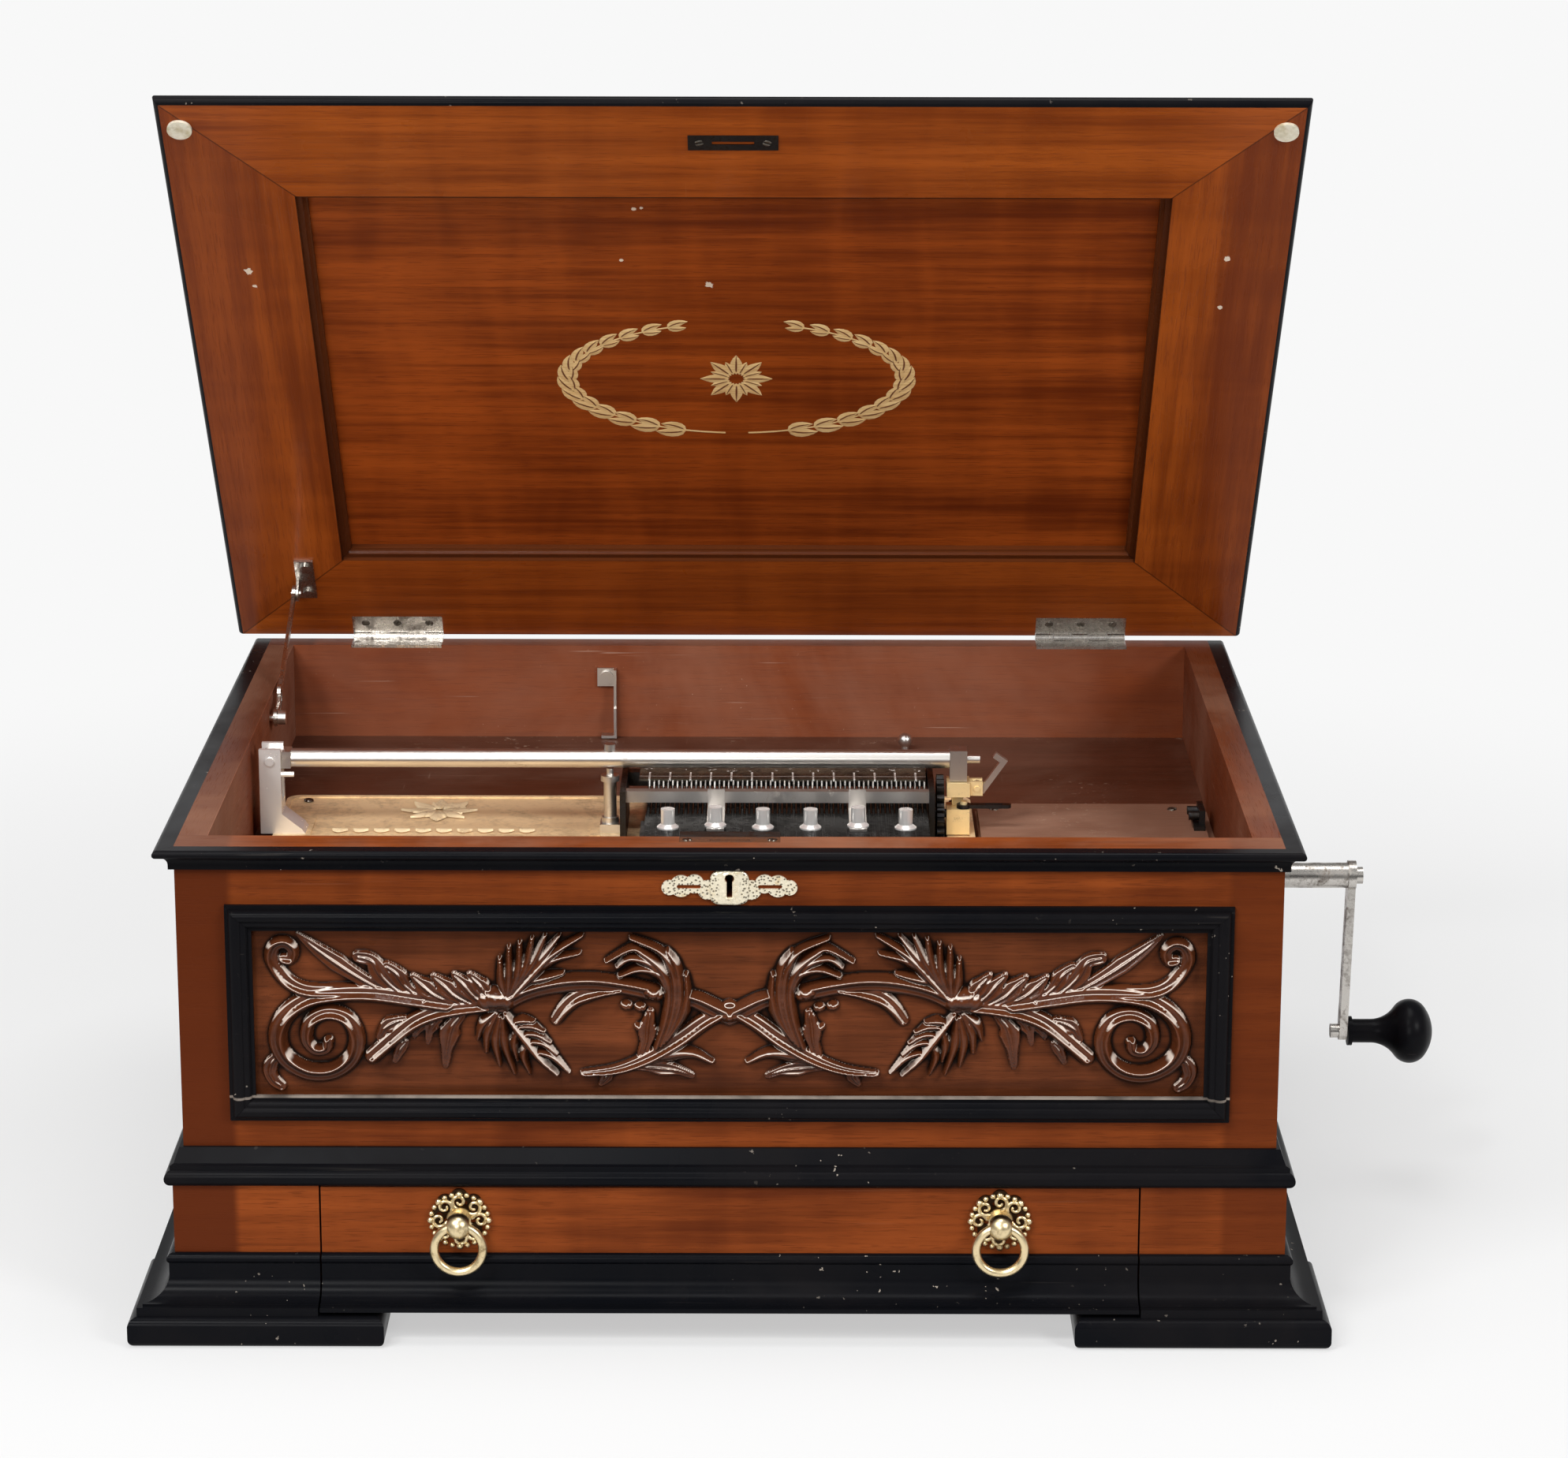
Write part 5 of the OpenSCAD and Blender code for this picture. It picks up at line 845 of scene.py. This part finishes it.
def stroke_height(kind, high, widths, lobes, knots, x, z):
    """Height of one stroke at the points: the nearest place on its curve gives a distance across the
    stroke, as a share of its half width, and the kind gives the section: a strap with a ridge to one side,
    a hollowed leaf with a vein, a flute with a sharp ridge, or a plain dome."""
    path = curve_points(knots, 0.8)
    tangent = np.gradient(path, axis=0)
    tangent /= np.linalg.norm(tangent, axis=1)[:, None]
    gap = np.stack([x, z], 1)[:, None] - path[None]
    far = (gap**2).sum(2)
    k = far.argmin(1)
    d = np.sqrt(far[np.arange(len(x)), k])
    near = gap[np.arange(len(x)), k]
    side = np.sign(tangent[k, 0] * near[:, 1] - tangent[k, 1] * near[:, 0])
    along = k / (len(path) - 1)
    w = np.interp(along, (0, 0.42, 1), widths)
    r = d / w
    edge = np.ones_like(r)
    if kind == "band":
        lean = side * r
        ridge = 0.34 * np.exp(-(((lean - 0.40) / 0.28) ** 2))
        hollow = 0.18 * np.exp(-(((lean + 0.24) / 0.34) ** 2))
        section = np.clip(1 - r**2, 0, 1) ** 0.36 * (0.78 + (ridge - hollow))
    elif kind == "leaf":
        edge = 1 - 0.16 * np.abs(np.sin(math.pi * lobes * along)) ** 3
        body = np.clip(1 - (r / edge) ** 8, 0, 1) ** 0.5
        section = body * (0.50 + 0.42 * r**2) + 0.34 * np.exp(-((r / 0.17) ** 2))
    elif kind == "flute":
        section = np.clip(1 - r**1.5, 0, 1) ** 0.6
    else:
        section = np.sqrt(np.clip(1 - r**2, 0, 1))
    rise = 0.72 + 0.28 * np.sin(math.pi * np.clip(along * 0.8 + 0.1, 0, 1))
    return np.where(r < edge, high * rise * section, 0.0)


def carving_half(ornament, side, name, material):
    """One half of the carved panel: a grid over X and Z whose forward height is the greatest of all
    strokes, over a lightly tooled ground; the outer border is turned back into the board."""
    low, high = (np.array(v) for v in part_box("panel_frame"))
    middle = (low + high) / 2 / MM
    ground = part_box("carved_panel")[0][1]
    half_w, half_h = (high - low)[[0, 2]] / 2 / MM - 14.0
    step = ornament.carving_step / MM
    columns = np.arange(-half_w, step / 2, step)
    columns[-1] = 0.0
    rows = np.arange(-half_h, half_h + step / 2, step)
    z, x = np.meshgrid(rows, columns, indexing="ij")
    height = np.zeros(x.shape)
    for kind, rise, widths, lobes, knots in STROKES:
        widths = np.array(widths) * ornament.boldness
        edge = max(widths) * 1.2
        corners = np.asarray(knots)
        inside = (x > corners[:, 0].min() - edge) & (x < corners[:, 0].max() + edge)
        inside &= (z > corners[:, 1].min() - edge) & (z < corners[:, 1].max() + edge)
        stroke = stroke_height(kind, rise, widths, lobes, knots, x[inside], z[inside])
        height[inside] = np.maximum(height[inside], stroke)
    tooled = 0.03 * np.sin(1.9 * x + 1.3 * np.sin(0.7 * z)) * np.sin(2.1 * z + 1.1 * np.sin(0.9 * x))
    stipple = np.clip((-x - 262) / 30, 0, 1) * 0.25 * np.sin(3.4 * x) * np.sin(3.1 * z + 0.8 * np.sin(x))
    raised = np.clip(height / 2.0, 0, 1)
    height = height * ornament.relief + np.where(height < 0.3, tooled + stipple, 0.25 * tooled) + 0.3
    soft = height.copy()
    for _ in range(3):
        padded = np.pad(soft, 3, mode="edge")
        soft = sum(padded[i : i + x.shape[0], 3:-3] for i in range(7)) / 7
        padded = np.pad(soft, 3, mode="edge")
        soft = sum(padded[3:-3, i : i + x.shape[1]] for i in range(7)) / 7
    # Ridge value: height above its own blur, low in crevices and high on ridges; the material paints shade
    # and highlight from it.
    ridge = np.clip(0.44 + (height - soft) * 0.20, 0, 1)
    for line in (np.s_[0, :], np.s_[-1, :], np.s_[:, 0]):
        height[line] = -2.0
    points = np.stack([middle[0] - side * x, ground / MM - height, z + middle[2]], 2) * MM
    faces = grid_faces(*x.shape)
    if side > 0:
        faces = faces[:, ::-1]
    put(name, points, faces, "case", material, {"ridge": ridge, "raised": raised})


def tubes(paths, radii, sides=7):
    """Round wires of the given paths (count, steps, 3): a ring of points round each path point, in the
    frame of its tangent and of a fixed direction, drawn to a point at both ends."""
    paths = np.asarray(paths, dtype=float)
    count, steps = paths.shape[:2]
    tangent = np.gradient(paths, axis=1)
    tangent /= np.linalg.norm(tangent, axis=2)[..., None]
    across = np.cross(tangent, (0.0, 1.0, 0.0))
    across /= np.linalg.norm(across, axis=2)[..., None]
    out = np.cross(across, tangent)
    turn = np.linspace(0, 2 * math.pi, sides, endpoint=False)
    ring = np.cos(turn)[:, None] * across[..., None, :] + np.sin(turn)[:, None] * out[..., None, :]
    radii = np.broadcast_to(radii, (count, steps)).copy()
    radii[:, [0, -1]] *= 0.05
    points = paths[..., None, :] + ring * radii[..., None, None]
    faces = repeated_faces(grid_faces(steps, sides, close_columns=True), steps * sides, count)
    return points.reshape(-1, 3), faces


def screw_heads(centres, axes, radius, slots):
    """Slotted screw heads: a square grid drawn into a disc, its height a low dome with a straight groove,
    turned so that its top looks along the given axis."""
    u = np.array((-1, -0.8, -0.4, 0, 0.4, 0.8, 1.0))
    v = np.array((-1, -0.75, -0.2, -0.13, 0.13, 0.2, 0.75, 1.0))
    v, u = np.meshgrid(v, u, indexing="ij")
    x, y = u * np.sqrt(1 - v**2 / 2), v * np.sqrt(1 - u**2 / 2)
    height = 0.34 * (1 - 0.55 * (x**2 + y**2)) - 0.22 * (np.abs(v) < 0.15)
    height[[0, -1], :] = height[:, [0, -1]] = -0.10
    centres, axes = np.asarray(centres, dtype=float), np.asarray(axes, dtype=float)
    axes /= np.linalg.norm(axes, axis=1)[:, None]
    helper = np.where(np.abs(axes[:, :1]) > 0.9, (0.0, 1.0, 0.0), (1.0, 0.0, 0.0))
    first = np.cross(helper, axes)
    first /= np.linalg.norm(first, axis=1)[:, None]
    second = np.cross(axes, first)
    c, s = np.cos(slots)[:, None], np.sin(slots)[:, None]
    first, second = c * first + s * second, c * second - s * first
    radius = np.broadcast_to(radius, len(centres))[:, None, None, None]
    shape = x[None, ..., None] * first[:, None, None] + y[None, ..., None] * second[:, None, None]
    shape = shape + height[None, ..., None] * axes[:, None, None]
    points = centres[:, None, None] + radius * shape
    return points.reshape(-1, 3), repeated_faces(grid_faces(*x.shape), x.size, len(centres))


def leaves(base, angle, size, width, bend, steps=7, across=5):
    """Flat pointed leaves in a plane: a curved middle line from each base point, widened by a sine lens,
    with a slight crown; gives points (x, y, crown) and how near each is to the vein."""
    base, angle, size, width, bend = (np.asarray(a, dtype=float) for a in (base, angle, size, width, bend))
    s = np.linspace(0, 1, steps)[None, :]
    t = np.linspace(-1, 1, across)[None, None, :]
    way = angle[:, None] + bend[:, None] * s
    middle = np.stack([np.cos(way), np.sin(way)], 2) * size[:, None, None] / steps
    middle = base[:, None] + np.cumsum(middle, axis=1) - middle[:, :1]
    lens = width[:, None] * (np.sin(math.pi * s**0.8) ** 0.9 + 0.02)
    normal = np.stack([-np.sin(way), np.cos(way)], 2)
    flat = middle[:, :, None] + normal[:, :, None] * (lens[:, :, None] * t)[..., None]
    crown = (1 - t**2) * np.ones_like(lens)[..., None]
    vein = np.broadcast_to(np.abs(t) < 0.1, crown.shape) * (s[..., None] > 0.1)
    faces = repeated_faces(grid_faces(steps, across), steps * across, len(base))
    return np.concatenate([flat, crown[..., None]], 3).reshape(-1, 3), vein.ravel(), faces


def on_lid(flat, off):
    """Points drawn on the closed lid's plane (x, y, raise), placed at a height and turned open."""
    flat = np.asarray(flat, dtype=float)
    points = np.stack([flat[:, 0], flat[:, 1], off - flat[:, 2]], 1)
    turn = np.array(OPENED)
    return points @ turn[:3, :3].T + turn[:3, 3]


def paint(material, *names):
    """Gives CAD nodes a material."""
    for name in names:
        slots = NODES[name].data.materials
        slots.clear()
        slots.append(material)


class MUSICBOX_OT_case(Operator):
    """Finishes the case, its mouldings, feet and drawer"""

    bl_idname = "music_box.case"
    bl_label = "Case"

    def execute(self, context):
        finish = context.scene.box_finish
        wood_group()
        wear_group()
        tarnish_group()
        boards = boards_material("Case mahogany", finish)
        paint(boards, "plinth_walls", "case_floor", "case_front", "case_back",
              "drawer_front", "drawer_tray")
        sides = boards_material("Side mahogany", finish, along_y=True)
        paint(sides, "case_sides", "battens", "slide_board")
        paint(deck_material(finish), "deck", "motor_cover")
        ebony = ebony_material("Ebonised wood", finish)
        paint(ebony, "feet", "base_moulding", "waist_moulding", "rim_moulding",
              "lid_edge", "drawer_moulding", "crank_knob")
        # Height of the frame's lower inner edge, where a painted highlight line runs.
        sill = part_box("panel_frame")[0][2] + 0.0165
        paint(ebony_material("Ebonised frame", finish, sill), "panel_frame")
        return {"FINISHED"}


class MUSICBOX_OT_carving(Operator):
    """Carves the front panel in two mirrored halves"""

    bl_idname = "music_box.carving"
    bl_label = "Carving"

    def execute(self, context):
        material = carved_material(context.scene.box_finish)
        paint(material, "carved_panel")
        carving_half(context.scene.box_ornament, -1, "carving_left", material)
        carving_half(context.scene.box_ornament, 1, "carving_right", material)
        return {"FINISHED"}


class MUSICBOX_OT_lid(Operator):
    """Finishes the lid and lays a leaf wreath into its panel"""

    bl_idname = "music_box.lid"
    bl_label = "Lid"

    def execute(self, context):
        finish, ornament = context.scene.box_finish, context.scene.box_ornament
        paint(lid_frame_material(finish), "lid_frame")
        paint(lid_panel_material(finish), "lid_panel")
        paint(ivory_material(finish), "lid_pads")
        low = lid_opening()[0]
        middle = np.array((0.0, HINGE[1] - WREATH_AHEAD))
        n = ornament.inlay_leaves
        turn = np.linspace(math.radians(-72), math.radians(66), n)
        rim = np.stack([ornament.inlay_w * np.cos(turn), -ornament.inlay_h * np.sin(turn)], 1)
        way = np.arctan2(-ornament.inlay_h * np.cos(turn), -ornament.inlay_w * np.sin(turn))
        base = np.concatenate([rim, rim])
        angle = np.concatenate([way + 0.62, way - 0.62])
        size = np.concatenate([np.linspace(0.026, 0.019, n), np.linspace(0.023, 0.016, n)])
        bend = np.concatenate([np.full(n, -0.7), np.full(n, 0.7)])
        stem = np.linspace(math.radians(-86), math.radians(70), 40)
        petals = np.arange(8) * math.pi / 4
        star = np.concatenate([petals, petals + math.pi / 8])
        base = np.concatenate([base, base * (-1, 1), 0.005 * np.stack([np.cos(star), np.sin(star)], 1)])
        angle = np.concatenate([angle, math.pi - angle, star])
        bend = np.concatenate([bend, -bend, np.zeros(16)])
        size = np.concatenate([size, size, np.repeat((0.024, 0.017), 8)])
        flat, vein, faces = leaves(base, angle, size, size * 0.19, bend)
        flat = flat * (1, 1, 0.00025) + (*middle, 0.00005)
        line = np.stack([ornament.inlay_w * np.cos(stem), -ornament.inlay_h * np.sin(stem)], 1)
        out = line / np.linalg.norm(line, axis=1)[:, None]
        ribbon = np.stack([line - out * 0.0009, line, line + out * 0.0009], 1)
        ribbon = np.concatenate([ribbon[None], ribbon[None, :, ::-1] * (-1, 1)]).reshape(-1, 2)
        ribbon = np.column_stack([ribbon + middle, np.tile((0.00005, 0.0003, 0.00005), 80)])
        strips = repeated_faces(grid_faces(40, 3), 120, 2)
        points = on_lid(np.concatenate([flat, ribbon]), low[2])
        faces = np.concatenate([faces[:, ::-1], strips + len(flat)])
        vein = np.concatenate([vein, np.zeros(len(ribbon))])
        put("lid_inlay", points, faces, "lid", inlay_material(finish), {"vein": vein})
        return {"FINISHED"}


class MUSICBOX_OT_metal(Operator):
    """Finishes the movement, the motor, the crank and the mounts"""

    bl_idname = "music_box.metal"
    bl_label = "Metalwork"

    def execute(self, context):
        finish, ornament = context.scene.box_finish, context.scene.box_ornament
        brass = metal_material("Old brass", finish.brass, finish.brass_dull, 0.42, 70.0, roughness=0.08)
        worn, dull = finish.nickel, finish.nickel_dull
        nickel = metal_material("Worn nickel", worn, dull, 0.30, 40.0, roughness=0.10, relief=0.02)
        steel = metal_material("Dark steel", finish.steel, finish.steel_dull, 0.55, 45.0, roughness=0.10)
        arm = metal_material("Browned nickel", finish.arm, finish.arm_dull, 0.46, 60.0, roughness=0.02)
        pale = (0.93, 0.91, 0.88)
        screws = metal_material("Bright nickel", pale, dull, 0.20, 40.0, 0.6, roughness=0.02, relief=0.02)
        paint(brass, "motor_plates", "spring_barrel", "second_wheel", "governor_fan",
              "winding_wheel", "arbor_bush", "pull_ring_left", "pull_ring_right")
        paint(pull_material(finish, ornament), "pull_plates")
        mount = mount_material()
        paint(mount, "escutcheon")
        paint(lock_material(), "lock")
        paint(screws, "comb_screws", "bar_post")
        soot, tar = (0.020, 0.018, 0.017), (0.010, 0.009, 0.008)
        black = metal_material("Blackened steel", soot, tar, 0.5, 40.0, 0.0, roughness=0.3)
        paint(black, "comb_base")
        yellow = (0.95, 0.73, 0.38)
        block = metal_material("Bright brass", yellow, finish.brass_dull, 0.30, 70.0, 0.5, roughness=0.10)
        paint(block, "latch_post")
        paint(nickel, "damper_rail", "spindle_post", "studs", "pressure_bar", "bar_latch", "prop_arm")
        paint(arm, "hinge_case_leaves", "hinge_lid_leaves", "stay_bracket", "lid_stay",
              "winding_arbor", "crank_arm")
        paint(steel, "gantry", "cover_catch", "drive_sprocket", "stop_lever", "strike_plate")
        paint(comb_material(finish), "comb")
        paint(star_material(finish), "star_wheels")
        paint(scale_material(finish), "scale_plate")
        paint(bed_material(finish), "bedplate")
        self.rosettes(ornament, brass)
        self.key_field(mount)
        gold = (1.0, 0.80, 0.50)
        self.casting(metal_material("Cast gilt", gold, finish.gilt_dull, 0.45, 60.0, 0.2, roughness=0.1))
        return {"FINISHED"}

    def key_field(self, material):
        """Shield round the keyhole: a ring whose inner edge is the keyhole's outline, its outer edge a
        rounded rectangle, and whose height is a low pillow with a raised inner border."""
        low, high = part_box("escutcheon")
        middle = (low[2] + high[2]) / 2 / MM
        a = np.linspace(0, 2 * math.pi, 96, endpoint=False)[None, :]
        t = np.array((0.0, 0.0, 0.10, 0.22, 0.30, 0.6, 0.88, 1.0, 1.0))[:, None]
        rise = np.array((-1.0, 0.9, 1.2, 1.1, 0.7, 0.9, 0.8, 0.4, -1.0))[:, None]
        c, s = np.cos(a), np.sin(a)
        across, up = (np.maximum(np.abs(v), 1e-6) for v in (c, s))
        slot = np.minimum(1.9 / across, np.where(s < 0, 8.6, 4.0) / up)
        eye = 4 * s + np.sqrt(np.maximum(16 * s**2 - 6.5, 0))
        inner = np.maximum(slot, np.where(16 * s**2 > 6.5, eye, 0))
        outer_x = 12.6 * np.sign(c) * np.abs(c) ** 0.5
        outer_z = 11.4 * np.sign(s) * np.abs(s) ** 0.5
        x = (1 - t) * inner * c + t * outer_x
        z = (1 - t) * (inner * s + 2.0) + t * outer_z + middle
        y = low[1] / MM - rise + 0.0 * a
        points = np.stack([x, y, z], 2) * MM
        put("key_field", points, grid_faces(9, 96, close_columns=True)[:, ::-1], "case", material)

    def casting(self, material):
        """Cast ornament on the bedplate: a double rosette of petals, and a row of ten lozenges."""
        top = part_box("bedplate")[1][2]
        centre = np.array((-0.2105, 0.036))
        turn = np.arange(8) * math.pi / 4
        base = np.concatenate([0.004 * np.stack([np.cos(turn), np.sin(turn)], 1)] * 2) + centre
        angle = np.concatenate([turn, turn + math.pi / 8])
        size = np.repeat((0.027, 0.018), 8)
        across = np.linspace(-0.276, -0.145, 10)
        row = np.stack([across - 0.0055, np.full(10, -0.015)], 1)
        base = np.concatenate([base, row])
        angle = np.concatenate([angle, np.zeros(10)])
        size = np.concatenate([size, np.full(10, 0.0125)])
        flat, _, faces = leaves(base, angle, size, size * np.where(size < 0.013, 0.36, 0.22), 0.0 * size)
        points = flat * (1, 1, 0.0016) + (0, 0, top - 0.0002)
        put("bed_casting", points, faces, "case", material)

    def rosettes(self, ornament, brass):
        """Scrolls on the drawer pulls: spirals round each rosette, radius shrinking with the turn, with a
        wreath of small buds outside them."""
        centre = pull_centre(ornament) - (0, 0, 0.0030)
        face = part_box("drawer_front")[0][1] - 0.0021
        wide = np.array((ornament.rosette_r * 1.06, 0.0, ornament.rosette_r))
        k = np.arange(8)[:, None]
        t = np.linspace(0, 1, 26)[None, :]
        hand = np.where(k % 2 == 0, 1, -1)
        out = np.stack([np.cos(k * math.pi / 4), 0.0 * k, np.sin(k * math.pi / 4)], 2)
        curl = k * math.pi / 4 + math.pi + hand * 2 * math.pi * 1.25 * t
        reach = ornament.rosette_r * 0.29 * (1 - 0.80 * t)
        path = 0.69 * wide * out + np.stack([reach * np.cos(curl), 0.0 * curl, reach * np.sin(curl)], 2)
        turn = np.arange(24) * math.pi / 12
        buds = np.stack([np.cos(turn), 0.0 * turn, np.sin(turn)], 1)[:, None] * wide * 0.97
        s = np.linspace(-1, 1, 7)
        size = np.where(np.arange(24) % 3 == 0, 0.0025, 0.0019)[:, None]
        buds = buds + (s * size)[..., None] * (1.0, 0.0, 0.0)
        swell = size * np.sqrt(1 - 0.98 * s**2)
        for name, paths, radii in (("pull_scrolls", path, 0.0015 - 0.0006 * t), ("pull_buds", buds, swell)):
            paths = paths + (0.0, face, 0.0)
            both = np.concatenate([paths + centre, paths * (-1, 1, 1) + centre * (-1, 1, 1)])
            radii = np.broadcast_to(radii, paths.shape[:2])
            points, faces = tubes(both, np.concatenate([radii, radii]))
            put(name, points, faces, "drawer", brass)


class MUSICBOX_OT_screws(Operator):
    """Puts slotted screws in the hinges, plates and fittings"""

    bl_idname = "music_box.screws"
    bl_label = "Screws"

    def execute(self, context):
        bright, rust = (0.20, 0.18, 0.15), (0.05, 0.04, 0.03)
        dark = metal_material("Screw steel", bright, rust, 0.5, 120.0, roughness=0.08)
        r = context.scene.box_ornament.screw_r
        low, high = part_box("bedplate")
        across, deep = (low[0] + 0.016, high[0] - 0.012), (low[1] + 0.014, high[1] - 0.014)
        bed = [(x, y, high[2] + 0.0002) for x in across for y in deep]
        low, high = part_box("motor_cover")
        across, deep = (low[0] + 0.012, high[0] - 0.02), (low[1] + 0.02, high[1] - 0.014)
        cover = [(x, y, high[2] + 0.0002) for x in across for y in deep]
        low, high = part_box("lock")
        plate = [(x, low[1] + 0.006, high[2] - 0.0003) for x in (low[0] + 0.005, high[0] - 0.005)]
        self.place("case_screws", bed + cover + plate, (0, 0, 1), r, "case", dark)
        x = HINGE_OUT + np.array((-0.024, 0.0, 0.024))
        x = np.concatenate([-x, x])
        leaf = np.stack([x, np.full(6, HINGE[1] - 0.0155), np.full(6, 0.0002)], 1)
        strike = np.array([(s * 0.0225, -0.262, 0.0004) for s in (-1, 1)])
        turned = on_lid(np.concatenate([leaf, strike]), lid_face_height())
        inward = np.array(OPENED)[:3, :3] @ (0, 0, -1)
        self.place("lid_screws", turned, inward, r * 0.9, "lid", dark)
        return {"FINISHED"}

    def place(self, name, centres, axis, radius, body, material):
        centres = np.asarray(centres)
        slots = np.arange(len(centres)) * 2.4
        points, faces = screw_heads(centres, np.tile(axis, (len(centres), 1)), radius, slots)
        put(name, points, faces, body, material)


def lid_face_height():
    """Height of the closed lid's inner face."""
    return lid_opening()[0][2] - PANEL_SUNK


class MUSICBOX_OT_stage(Operator):
    """Sets the camera, the pale floor and the soft lamps"""

    bl_idname = "music_box.stage"
    bl_label = "Stage"

    def execute(self, context):
        stage = context.scene.box_stage
        scene = context.scene
        lens = bpy.data.cameras.new("camera")
        lens.lens, lens.sensor_width, lens.clip_end = stage.lens, 36.0, 100.0
        camera = bpy.data.objects.new("camera", lens)
        turn = Matrix.Rotation(math.pi / 2 - stage.pitch, 4, "X") @ Matrix.Rotation(stage.roll, 4, "Z")
        camera.matrix_world = Matrix.Translation(stage.eye) @ Matrix.Rotation(stage.yaw, 4, "Z") @ turn
        scene.collection.objects.link(camera)
        scene.camera = camera
        scene.view_settings.view_transform = "Standard"
        self.floor(stage)
        self.world(scene, stage)
        for name, place, aim, size, power in (
            ("lamp_key", (-1.8, -2.2, 2.6), (0, 0, 0.25), 0.9, 46.0),
            ("lamp_fill", (2.2, -2.3, 1.9), (0, 0, 0.25), 0.9, 53.0),
            ("lamp_front", (-0.7, -3.4, 1.25), (0, 0, 0.45), 0.9, 30.0),
            ("lamp_top", (0.1, -0.1, 3.0), (0, 0, 0.2), 1.4, 44.0),
            ("lamp_glint", (-0.8, -2.0, 2.6), (0, -0.28, 0.22), 0.4, 26.0),
        ):
            light = bpy.data.lights.new(name, "AREA")
            light.energy, light.size = power, size
            lamp = bpy.data.objects.new(name, light)
            way = (Vector(aim) - Vector(place)).to_track_quat("-Z", "Y").to_matrix().to_4x4()
            lamp.matrix_world = Matrix.Translation(place) @ way
            scene.collection.objects.link(lamp)
        return {"FINISHED"}

    def floor(self, stage):
        """A wide flat round sheet whose rim stands up as a backdrop: diffuse near the box, where its shadow
        falls, plain white further out. What the box mirrors greys off towards the viewer, against glare."""
        material = bpy.data.materials.new("Floor paper")
        material.use_nodes = True
        tree = material.node_tree
        tree.nodes.clear()
        shade = Shade(tree)
        path = tree.nodes.new("ShaderNodeLightPath").outputs
        ahead = shade.span(shade.split(shade.place())["Y"], -1.0, -0.56)
        pale = shade.most(ahead, path["Is Camera Ray"])
        paper = shade.add("BsdfDiffuse", {"Color": shade.mix(pale, (0.18, 0.18, 0.18), stage.floor)})
        glow = shade.add("Emission", {"Color": (1, 1, 1), "Strength": stage.backdrop})
        away = shade.add("VectorMath", {0: shade.place()}, out="Value", operation="LENGTH")
        seen = shade.most(path["Is Camera Ray"], path["Is Glossy Ray"])
        seen = shade.most(seen, path["Is Transmission Ray"])
        share = shade.times(shade.span(away, 0.5, 1.6, 0.55, 1.0), shade.times(seen, pale))
        both = shade.add("MixShader", {0: share, 1: paper, 2: glow})
        end = tree.nodes.new("ShaderNodeOutputMaterial")
        tree.links.new(both, end.inputs[0])
        r = np.array((0.0, 0.5, 1.0, 2.0, 5.0, 12.0, 30.0, 32.0))[:, None]
        z = np.array((0.0, 0.0, 0.0, 0.0, 0.0, 0.0, 0.0, 12.0))[:, None]
        a = np.linspace(0, 2 * math.pi, 48, endpoint=False)[None, :]
        points = np.stack([r * np.cos(a), r * np.sin(a), z + 0.0 * a], 2)
        mesh = bpy.data.meshes.new("floor")
        mesh.from_pydata(points.reshape(-1, 3).tolist(), [], grid_faces(8, 48, close_columns=True).tolist())
        mesh.validate()
        mesh.materials.append(material)
        floor = bpy.data.objects.new("floor", mesh)
        bpy.context.scene.collection.objects.link(floor)

    def world(self, scene, stage):
        """An even grey room that only softens the shadows."""
        scene.world = bpy.data.worlds.new("Studio")
        scene.world.use_nodes = True
        tree = scene.world.node_tree
        tree.nodes.clear()
        sky = Shade(tree).add("Background", {"Color": (1, 1, 1), "Strength": stage.room})
        end = tree.nodes.new("ShaderNodeOutputWorld")
        tree.links.new(sky, end.inputs[0])


OPERATORS = (
    MUSICBOX_OT_case,
    MUSICBOX_OT_carving,
    MUSICBOX_OT_lid,
    MUSICBOX_OT_metal,
    MUSICBOX_OT_screws,
    MUSICBOX_OT_stage,
)


class MUSICBOX_PT_panel(Panel):
    """Lists the parts of the box that can be built"""

    bl_label = "Music box"
    bl_idname = "MUSICBOX_PT_panel"
    bl_space_type = "VIEW_3D"
    bl_region_type = "UI"
    bl_category = "Music box"

    def draw(self, context):
        for operator in OPERATORS:
            self.layout.operator(operator.bl_idname)
        for group in ("box_finish", "box_ornament", "box_stage"):
            settings = getattr(context.scene, group)
            for key in settings.__annotations__:
                self.layout.prop(settings, key)


CLASSES = (BoxFinish, BoxOrnament, BoxStage, *OPERATORS, MUSICBOX_PT_panel)


def register():
    for item in CLASSES:
        bpy.utils.register_class(item)
    bpy.types.Scene.box_finish = PointerProperty(type=BoxFinish)
    bpy.types.Scene.box_ornament = PointerProperty(type=BoxOrnament)
    bpy.types.Scene.box_stage = PointerProperty(type=BoxStage)


def unregister():
    del bpy.types.Scene.box_stage, bpy.types.Scene.box_ornament, bpy.types.Scene.box_finish
    for item in reversed(CLASSES):
        bpy.utils.unregister_class(item)


def main():
    register()
    bpy.ops.music_box.case()
    bpy.ops.music_box.carving()
    bpy.ops.music_box.lid()
    bpy.ops.music_box.metal()
    bpy.ops.music_box.screws()
    bpy.ops.music_box.stage()


if __name__ == "__main__":
    main()
